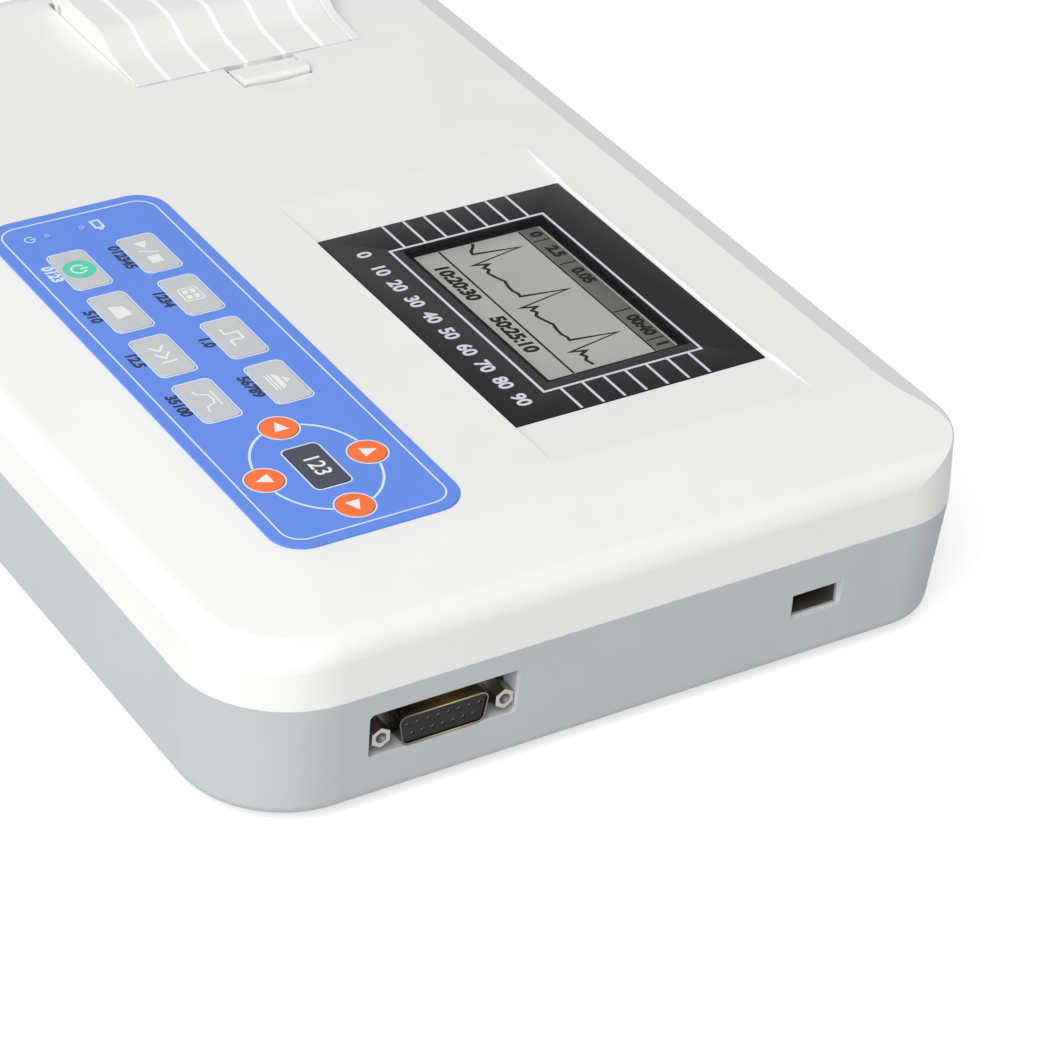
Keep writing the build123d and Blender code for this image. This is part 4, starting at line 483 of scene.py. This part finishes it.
def moveLoops(loops, middle, scale=1.0):
    return [[(middle[0] + scale * x, middle[1] + scale * y) for x, y in loop] for loop in loops]


def addCurve(bm, curve, place):
    # the curve's mesh, moved and added to a bmesh
    holder = bpy.data.objects.new("holder", curve)
    bpy.context.scene.collection.objects.link(holder)
    bpy.context.view_layer.update()
    mesh = bpy.data.meshes.new_from_object(holder.evaluated_get(bpy.context.evaluated_depsgraph_get()))
    bpy.data.objects.remove(holder)
    mesh.transform(Matrix.Translation(place))
    bm.from_mesh(mesh)
    bpy.data.meshes.remove(mesh)


def addSlab(bm, loops, low, high, bevel=0.0):
    curve = bpy.data.curves.new("loops", "CURVE")
    curve.dimensions = "2D"
    curve.fill_mode = "BOTH"
    curve.extrude = (high - low) / 2 - bevel
    curve.bevel_depth = bevel
    curve.bevel_resolution = drawing["edgeSteps"]
    curve.offset = -bevel
    for loop in loops:
        spline = curve.splines.new("POLY")
        spline.points.add(len(loop) - 1)
        for point, place in zip(spline.points, loop):
            point.co = (*place, 0, 1)
        spline.use_cyclic_u = True
    addCurve(bm, curve, (0, 0, (low + high) / 2))


def addWord(bm, word, place, height, weight, slant):
    curve = bpy.data.curves.new("word", "FONT")
    curve.body = word
    curve.size = height
    curve.extrude = drawing["inkHalf"]
    curve.offset = weight * height
    curve.shear = slant
    curve.align_x = "CENTER"
    curve.align_y = "CENTER"
    curve.resolution_u = drawing["letterSteps"]
    addCurve(bm, curve, place)


def joinRings(bm, rings):
    # quads between each ring of points and the next
    for near, far in zip(rings, rings[1:]):
        count = len(near)
        for index in range(count):
            after = (index + 1) % count
            bm.faces.new((near[index], near[after], far[after], far[index]))


def addStrip(bm, points, line, low, height):
    # a line of ink with square ends, as a closed strip of quads
    side = strokeLoop(points, line)
    count = len(points)
    left, right = side[:count], side[count:][::-1]
    rings = []
    for start, end in zip(left, right):
        corners = [(*start, low), (*end, low), (*end, low + height), (*start, low + height)]
        rings.append([bm.verts.new(corner) for corner in corners])
    joinRings(bm, rings)
    bm.faces.new(rings[0])
    bm.faces.new(rings[-1][::-1])


def addRound(bm, axis, middle, profile, steps):
    # a closed profile of (distance along, radius) turned about an axis, 0 for X and 1 for Y
    rings = []
    for along, radius in profile:
        ring = []
        for x, y in roundLoop(middle, radius, steps):
            place = [x, y]
            place.insert(axis, along)
            ring.append(bm.verts.new(place))
        rings.append(ring)
    joinRings(bm, rings + rings[:1])


def settle(name, bm, finish, node):
    # welds a mesh drawn in millimetres, shades it and seats it on the body of a node
    bmesh.ops.remove_doubles(bm, verts=bm.verts, dist=drawing["weld"])
    bmesh.ops.recalc_face_normals(bm, faces=bm.faces)
    bm.transform(Matrix.Scale(mm, 4))
    mesh = bpy.data.meshes.new(name)
    bm.to_mesh(mesh)
    bm.free()
    mesh.shade_smooth()
    mesh.set_sharp_from_angle(angle=math.radians(drawing["sharpAngle"]))
    mesh.materials.append(materials[finish])
    piece = bpy.data.objects.new(name, mesh)
    bpy.context.scene.collection.objects.link(piece)
    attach(piece, bodyOf[node])
    return piece


def addPrint(name, finish, node, loops=(), words=(), layer=0, weight=drawing["wordWeight"], slant=0.0):
    # ink on top of a node, or on ink that is there; a word is (text, x, y, height)
    half = drawing["inkHalf"]
    bm = bmesh.new()
    if loops:
        addSlab(bm, loops, -half, half)
    for text, x, y, height in words:
        addWord(bm, text, (x, y, 0), height, weight, slant)
    bm.transform(Matrix.Translation((0, 0, half + drawing["inkLift"])))
    bm.transform(Matrix.Translation((0, 0, spans(node)[2][1] + 2 * half * layer)))
    settle(name, bm, finish, node)


# display window: black border, clear middle, pale printed lines and a plain scale of numbers
window = {
    "cornerRadius": 0.6,
    "edge": 0.12,
    "clear": (70.5, 42.6),
    "clearMiddle": (54.2, 39.6),
    "clearRadius": 0.4,
    "cornerSteps": (4, 3),  # of the border, of the clear middle
    "frameX": (17.5, 93.3),
    "frameY": (14.9, 62.2),
    "line": 0.75,
    "barY": (19.9, 57.7),
    "barCount": 7,
    "barGap": 0.01,  # from the printed frame
    "barInset": 0.3,  # from the window's edge
    "scaleX": (16.5, 93.5),
    "scaleY": 8.2,
    "scaleMarks": 10,
    "scaleStep": 10,
    "figure": 5.4,
    "figureWeight": 0.035,
}


def evenly(span, index, count):
    # place of one of several marks that stand evenly along a span
    return span[0] + (span[1] - span[0]) * index / (count - 1)


def addWindow(look):
    middle, size = footprint("display_window")
    low, high = spans("display_window")[2]
    borderSteps, clearSteps = look["cornerSteps"]
    border = roundedLoop(middle, size, look["cornerRadius"], borderSteps)
    clear = roundedLoop(look["clearMiddle"], look["clear"], look["clearRadius"], clearSteps)
    bm = bmesh.new()
    addSlab(bm, [border, clear[::-1]], low, high, look["edge"])
    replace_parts(settle("windowBorder", bm, "window_sheet", "display_window"), "display_window")
    bm = bmesh.new()
    addSlab(bm, [clear], low, high)
    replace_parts(settle("windowPane", bm, "clearSheet", "display_window"), "display_window")


def addWindowPrint(look):
    left, right = spans("display_window")[0]
    frameX, frameY, line = look["frameX"], look["frameY"], look["line"]
    inner = boxLoop((frameX[0] + line, frameX[1] - line), (frameY[0] + line, frameY[1] - line))
    loops = [boxLoop(frameX, frameY), inner[::-1]]
    gap, inset = look["barGap"], look["barInset"]
    for index in range(look["barCount"]):
        y = evenly(look["barY"], index, look["barCount"])
        for span in ((left + inset, frameX[0] - gap), (frameX[1] + gap, right - inset)):
            loops.append(boxLoop(span, (y - line / 2, y + line / 2)))
    words = []
    for index in range(look["scaleMarks"]):
        x = evenly(look["scaleX"], index, look["scaleMarks"])
        words.append((str(look["scaleStep"] * index), x, look["scaleY"], look["figure"]))
    addPrint("windowPrint", "printLilac", "display_window", loops, words, weight=look["figureWeight"])


addWindow(window)
addWindowPrint(window)


# what the display shows: a status bar, three beats of a trace and a bar of plain figures
screen = {
    "middle": (52.8, 40.6),
    "size": (66.0, 38.4),
    "radius": 0.3,
    "border": (81.0, 53.4),
    "borderRadius": 0.5,
    "cornerSteps": 2,
    "upperLineY": 53.2,
    "lowerLineY": 28.8,
    "lineHalf": 0.3,
    "lineInset": 0.2,
    "figureY": 25.0,
    "figure": 5.4,
    "figures": (("10:20:30", 15.6), ("50:25:10", 43.4)),  # text and distance from the left edge
    "figureWeight": 0.05,
    "figureSlant": 0.1,
    "traceLine": 0.85,
    "traceY": 36.4,
    "traceStart": ((0.3, 2.6), (1.6, 2.0)),  # points at the left edge, before the first beat
    "traceInset": (2.0, 0.3),  # room left at either edge
    "firstBeatX": 26.9,
    "beatPitch": 23.5,
    "beats": 3,
    "barInset": 0.1,
    "barGap": 0.4,
    "statusY": (54.0, 59.2),
    "statusFigure": 4.6,
    "statusFigures": (("0", 3.4), ("2.5", 13.0), ("0.05", 26.6), ("00:40", 53.8), ("1", 63.6)),
    "statusWeight": 0.06,
    "dividers": (6.6, 19.4, 45.6, 60.8),
    "dividerHalf": 0.25,
    "dividerPast": (0.2, 0.4),
}
# one beat, as steps along and heights above the base line
beatShape = [(-10.4, 0.2), (-7.6, -0.4), (-5.2, -0.5), (-3.4, 0.1), (-2.0, -0.2), (0.0, 13.0), (2.9, -3.0),
             (4.0, 0.9), (5.2, -1.3), (6.4, -0.4), (7.8, -1.6), (10.4, -0.9), (12.4, -0.2)]


def tracePoints(look, left, right):
    points = [(left + along, look["traceY"] + height) for along, height in look["traceStart"]]
    insetLeft, insetRight = look["traceInset"]
    for beat in range(look["beats"]):
        start = look["firstBeatX"] + beat * look["beatPitch"]
        for along, height in beatShape:
            if left + insetLeft < start + along < right - insetRight:
                points.append((start + along, look["traceY"] + height))
    return points


def addScreen(look):
    left = look["middle"][0] - look["size"][0] / 2
    right = look["middle"][0] + look["size"][0] / 2
    active = roundedLoop(look["middle"], look["size"], look["radius"], look["cornerSteps"])
    dark = roundedLoop(look["middle"], look["border"], look["borderRadius"], look["cornerSteps"])
    addPrint("screenBorder", "black_paint", "lcd_glass", [dark, active[::-1]])

    loops = [strokeLoop(tracePoints(look, left, right), look["traceLine"])]
    half, inset = look["lineHalf"], look["lineInset"]
    for y in (look["upperLineY"], look["lowerLineY"]):
        loops.append(boxLoop((left + inset, right - inset), (y - half, y + half)))
    words = [(text, left + along, look["figureY"], look["figure"]) for text, along in look["figures"]]
    addPrint("screenTrace", "screenDark", "lcd_glass", loops, words,
             weight=look["figureWeight"], slant=look["figureSlant"])

    low, high = look["statusY"]
    inset = look["barInset"]
    shade = boxLoop((left + inset, right - inset), (look["upperLineY"] + look["barGap"], high))
    addPrint("screenBar", "screenShade", "lcd_glass", [shade])
    half, (below, above) = look["dividerHalf"], look["dividerPast"]
    dividers = []
    for along in look["dividers"]:
        dividers.append(boxLoop((left + along - half, left + along + half), (low - below, high - above)))
    middle, height = (low + high) / 2, look["statusFigure"]
    words = [(text, left + along, middle, height) for text, along in look["statusFigures"]]
    addPrint("screenFigures", "screenDark", "lcd_glass", dividers, words, 1, look["statusWeight"])


addScreen(screen)
print("display made")


# keypad print: pale border, outlines round the keys, an oval between the arrow keys, navy figures
keypad = {
    "cornerRadius": 8.5,
    "borderInset": 3.0,
    "borderLine": 0.45,
    "keyRadius": 1.4,
    "outline": 0.42,
    "outlineGap": 0.16,
    "ovalStart": 45,  # degrees, at an arrow key, so no arc is cut in two
    "ovalX": 18.8,
    "ovalY": 14.8,
    "ovalLine": 0.65,
    "ovalGap": 0.02,
    "labelShift": 1.0,
    "labelDrop": 7.3,
    "labelFigure": 4.0,
    "labelWeight": 0.05,
    "labelSlant": 0.1,
    "powerScale": 0.42,
    "powerShift": (-0.1, -3.8),
    "cellShift": (0.1, 3.4),
}
keyLabels = {
    "key_power": "0123", "key_sensitivity": "510", "key_speed": "12.5", "key_filter": "35100",
    "key_start_stop": "012345", "key_mode": "1234", "key_calibrate": "1.0", "key_print": "56789",
}
roundKeys = ["key_left", "key_right", "key_down", "key_up"]
# marks in millimetres about their own middle: an open ring with its stroke, and a battery cell
powerMark = [
    strokeLoop(arcPoints((0, -0.3), 3.1, 125, 415, 40), 0.85),
    boxLoop((-0.42, 0.42), (0.3, 3.9)),
]
cellMark = [
    boxLoop((-2.4, 1.9), (-1.4, 1.4)),
    boxLoop((-1.8, 1.3), (-0.8, 0.8))[::-1],
    boxLoop((2.1, 2.7), (-0.6, 0.6)),
]


def outlineLoops(look):
    gap, line = look["outlineGap"], look["outline"]
    loops = []
    for key in list(keyLabels) + ["key_set"]:
        middle, size = footprint(key)
        outer = (size[0] + 2 * (gap + line), size[1] + 2 * (gap + line))
        loops += ringLoops(middle, outer, look["keyRadius"] + gap + line, line)
    for key in roundKeys:
        middle, size = footprint(key)
        inner = size[0] / 2 + gap
        loops += [roundLoop(middle, inner + line), roundLoop(middle, inner)[::-1]]
    return loops


def ovalArcs(look):
    # the stretches of the oval that lie between the arrow keys
    x, y, _ = centre("key_set")
    _, (discSize, _) = footprint("key_left")
    clearance = discSize / 2 + look["outlineGap"] + look["outline"]
    arcs = [[]]
    for step in range(360 + 1):
        angle = math.radians(look["ovalStart"] + step)
        point = (x + look["ovalX"] * math.cos(angle), y + look["ovalY"] * math.sin(angle))
        if all(math.dist(point, centre(key)[:2]) > clearance + look["ovalGap"] for key in roundKeys):
            arcs[-1].append(point)
        elif arcs[-1]:
            arcs.append([])
    return [arc for arc in arcs if len(arc) > 1]


def addKeypadLines(look):
    middle, (length, width) = footprint("keypad_overlay")
    inset = look["borderInset"]
    size = (length - 2 * inset, width - 2 * inset)
    border = ringLoops(middle, size, look["cornerRadius"] - inset, look["borderLine"])
    addPrint("keypadBorder", "printPale", "keypad_overlay", border)
    low = spans("keypad_overlay")[2][1] + drawing["inkLift"]
    bm = bmesh.new()
    for arc in ovalArcs(look):
        addStrip(bm, arc, look["ovalLine"], low, 2 * drawing["inkHalf"])
    settle("keypadOval", bm, "printPale", "keypad_overlay")
    addPrint("keypadLines", "printPale", "keypad_overlay", outlineLoops(look))


def addKeypadFigures(look):
    words = {}
    for key, label in keyLabels.items():
        x, y, _ = centre(key)
        words[key] = (label, x - look["labelShift"], y - look["labelDrop"], look["labelFigure"])
    pale = [words.pop("key_power")]
    style = {"weight": look["labelWeight"], "slant": look["labelSlant"]}
    addPrint("keypadFigures", "printNavy", "keypad_overlay", (), words.values(), **style)
    (lampLeft, lampRight), (lampFront, lampRear), _ = spans("status_lamps")
    lampX = (lampLeft + lampRight) / 2
    (powerX, powerY), (cellX, cellY) = look["powerShift"], look["cellShift"]
    loops = moveLoops(powerMark, (lampX + powerX, lampFront + powerY), look["powerScale"])
    loops += moveLoops(cellMark, (lampX + cellX, lampRear + cellY))
    addPrint("keypadMarks", "printPale", "keypad_overlay", loops, pale, **style)


addKeypadLines(keypad)
addKeypadFigures(keypad)
print("keypad print made")


# patient socket: the spring contacts seen in the holes of the insert, then the turns in its threaded posts
socket = {
    "rows": ((8, 1.42), (7, -1.42)),  # how many contacts, and height above the middle
    "pitch": 2.77,
    "recess": 0.25,
    "outer": 0.5,
    "inner": 0.24,
    "depth": 1.2,
    "lip": 0.1,
    "innerLip": 0.06,
    "contactSteps": 12,
}
posts = {
    "acrossFlats": 4.76,
    "outer": 1.4,
    "inner": 1.12,
    "pitch": 0.635,
    "turns": 5,
    "recess": 0.15,
    "firstCrest": 0.2,
    "crestDrop": 0.02,
    "tail": 0.1,
    "tailDrop": 0.01,
    "steps": 20,
}


def addContacts(look):
    # small tubes with a bevelled mouth
    _, middleY, middleZ = centre("patient_port_insert")
    face = spans("patient_port_insert")[0][1] - look["recess"]
    lip, depth, outer, inner = look["lip"], look["depth"], look["outer"], look["inner"]
    profile = [(face - depth, outer), (face - lip, outer), (face, outer - lip),
               (face, inner + look["innerLip"]), (face - lip, inner), (face - depth, inner)]
    bm = bmesh.new()
    for count, rise in look["rows"]:
        for index in range(count):
            y = middleY + (index - (count - 1) / 2) * look["pitch"]
            addRound(bm, 0, (y, middleZ + rise), profile, look["contactSteps"])
    settle("patientContacts", bm, "contact_gold", "patient_port_insert")


def addPostThreads(look):
    # a crest and a root for each turn, as rings and not as a helix
    (_, face), (low, high), _ = spans("patient_port_jackscrews")
    _, middle, z = centre("patient_port_jackscrews")
    half = (high - low) / 2 - look["acrossFlats"] / 2
    profile = [(face - look["recess"], look["outer"])]
    for turn in range(look["turns"]):
        x = face - look["firstCrest"] - turn * look["pitch"]
        profile += [(x, look["outer"] - look["crestDrop"]), (x - look["pitch"] / 2, look["inner"])]
    profile.append((profile[-1][0] - look["tail"], look["outer"] - look["tailDrop"]))
    bm = bmesh.new()
    for side in (-1, 1):
        addRound(bm, 0, (middle + side * half, z), profile, look["steps"])
    settle("postThreads", bm, "core_steel", "patient_port_jackscrews")


addContacts(socket)
addPostThreads(posts)
print("sockets made")


# chart paper: pale red lines round the roll and along it
chartPaper = {
    "pitch": 5.0,
    "line": 0.18,
    "margin": 2.0,
    "low": 0.005,
    "high": 0.03,
    "hoopSteps": 64,
}


def addPaperGrid(look):
    (x0, x1), (y0, y1), (z0, z1) = spans("paper_roll")
    middle = ((x0 + x1) / 2, (z0 + z1) / 2)
    radius = min(x1 - x0, z1 - z0) / 2
    low, high, half = radius + look["low"], radius + look["high"], look["line"] / 2
    bm = bmesh.new()
    count = int((y1 - y0 - 2 * look["margin"]) / look["pitch"])
    for index in range(count + 1):
        y = (y0 + y1) / 2 + (index - count / 2) * look["pitch"]
        profile = [(y - half, low), (y - half, high), (y + half, high), (y + half, low)]
        addRound(bm, 1, middle, profile, look["hoopSteps"])
    lines = int(2 * math.pi * radius / look["pitch"])
    ends = (y0 + look["margin"], y1 - look["margin"])
    for line in range(lines):
        addPaperLine(bm, middle, ends, 2 * math.pi * line / lines, half / radius, low, high)
    settle("paperGrid", bm, "printRose", "paper_roll")


def addPaperLine(bm, middle, ends, angle, reach, low, high):
    # a thin bar along the roll, from one end to the other
    rings = []
    for y in ends:
        ring = []
        for turn, radius in ((-reach, low), (reach, low), (reach, high), (-reach, high)):
            x = middle[0] + radius * math.cos(angle + turn)
            z = middle[1] + radius * math.sin(angle + turn)
            ring.append(bm.verts.new((x, y, z)))
        rings.append(ring)
    joinRings(bm, rings)
    bm.faces.new(rings[0])
    bm.faces.new(rings[1][::-1])


addPaperGrid(chartPaper)
print("chart paper made")


# key marks, drawn about the middle of each key and riding on it
keyMarks = {
    "discRadius": 4.3,
    "powerScale": 0.62,
    "arrowSize": 2.448,
    "arrowTurns": (0, 128, 232),  # degrees from the tip to each corner
    "setText": "123",
    "setFigure": 6.0,
}
icons = {
    "key_power": moveLoops(powerMark, (0, 0), keyMarks["powerScale"]),
    "key_sensitivity": [[(-3.2, -2.2), (3.2, -2.2), (2.4, 2.2), (-2.0, 1.5)]],
    "key_speed": [
        strokeLoop([(-4.2, 2.0), (-1.8, 0.0), (-4.2, -2.0)], 0.7),
        strokeLoop([(-0.8, 2.0), (1.6, 0.0), (-0.8, -2.0)], 0.7),
        boxLoop((3.0, 3.7), (-2.2, 2.2)),
    ],
    "key_filter": [
        strokeLoop([(-5.0, -1.6), (-3.2, -1.4), (-2.0, 1.2), (0.0, 1.6),
                    (1.8, 1.2), (2.8, -1.2), (5.0, -1.8)], 0.5),
        boxLoop((-3.4, 3.4), (2.3, 2.75)),
    ],
    "key_start_stop": [
        [(-5.6, -1.9), (-5.6, 1.9), (-2.2, 0.0)],
        strokeLoop([(-1.4, -2.4), (0.6, 2.4)], 0.5),
        boxLoop((1.8, 5.4), (-1.7, 1.7)),
    ],
    "key_mode": [
        roundedLoop((0, 0), (6.4, 5.6), 1.0, 4),
        roundedLoop((0, 0), (5.6, 4.8), 0.7, 4)[::-1],
        boxLoop((-2.2, -0.4), (0.3, 1.8)),
        boxLoop((0.4, 2.2), (0.3, 1.8)),
        boxLoop((-2.2, -0.4), (-1.8, -0.3)),
        boxLoop((0.4, 2.2), (-1.8, -0.3)),
    ],
    "key_calibrate": [
        strokeLoop([(-4.6, -1.7), (-1.9, -1.7), (-1.9, 1.9), (1.2, 1.9), (1.2, -1.7), (4.2, -1.7)], 0.65),
    ],
    "key_print": [
        [(-3.6, -0.6), (3.6, -0.6), (2.4, 0.9), (-2.4, 0.9)],
        [(-1.5, 1.4), (1.5, 1.4), (0.0, 3.0)],
        boxLoop((-3.6, 3.6), (-1.6, -1.15)),
        boxLoop((-3.6, 3.6), (-2.5, -2.05)),
    ],
}
arrowAngles = {"key_left": 180, "key_right": 0, "key_up": 90, "key_down": 270}


def arrowLoop(look, angle):
    turns = [math.radians(angle + extra) for extra in look["arrowTurns"]]
    return [(look["arrowSize"] * math.cos(turn), look["arrowSize"] * math.sin(turn)) for turn in turns]


def addKeyMarks(look):
    x, y, _ = centre("key_power")
    addPrint("keyDisc", "printMint", "key_power", [roundLoop((x, y), look["discRadius"])])
    for key, loops in icons.items():
        x, y, _ = centre(key)
        layer = 1 if key == "key_power" else 0
        addPrint(key.replace("key_", "mark_"), "printIcon", key, moveLoops(loops, (x, y)), (), layer)
    for key, angle in arrowAngles.items():
        x, y, _ = centre(key)
        arrow = moveLoops([arrowLoop(look, angle)], (x, y))
        addPrint(key.replace("key_", "mark_"), "printWhite", key, arrow)
    x, y, _ = centre("key_set")
    addPrint("mark_set", "printWhite", "key_set", (), [(look["setText"], x, y, look["setFigure"])])


addKeyMarks(keyMarks)
print("key marks made")
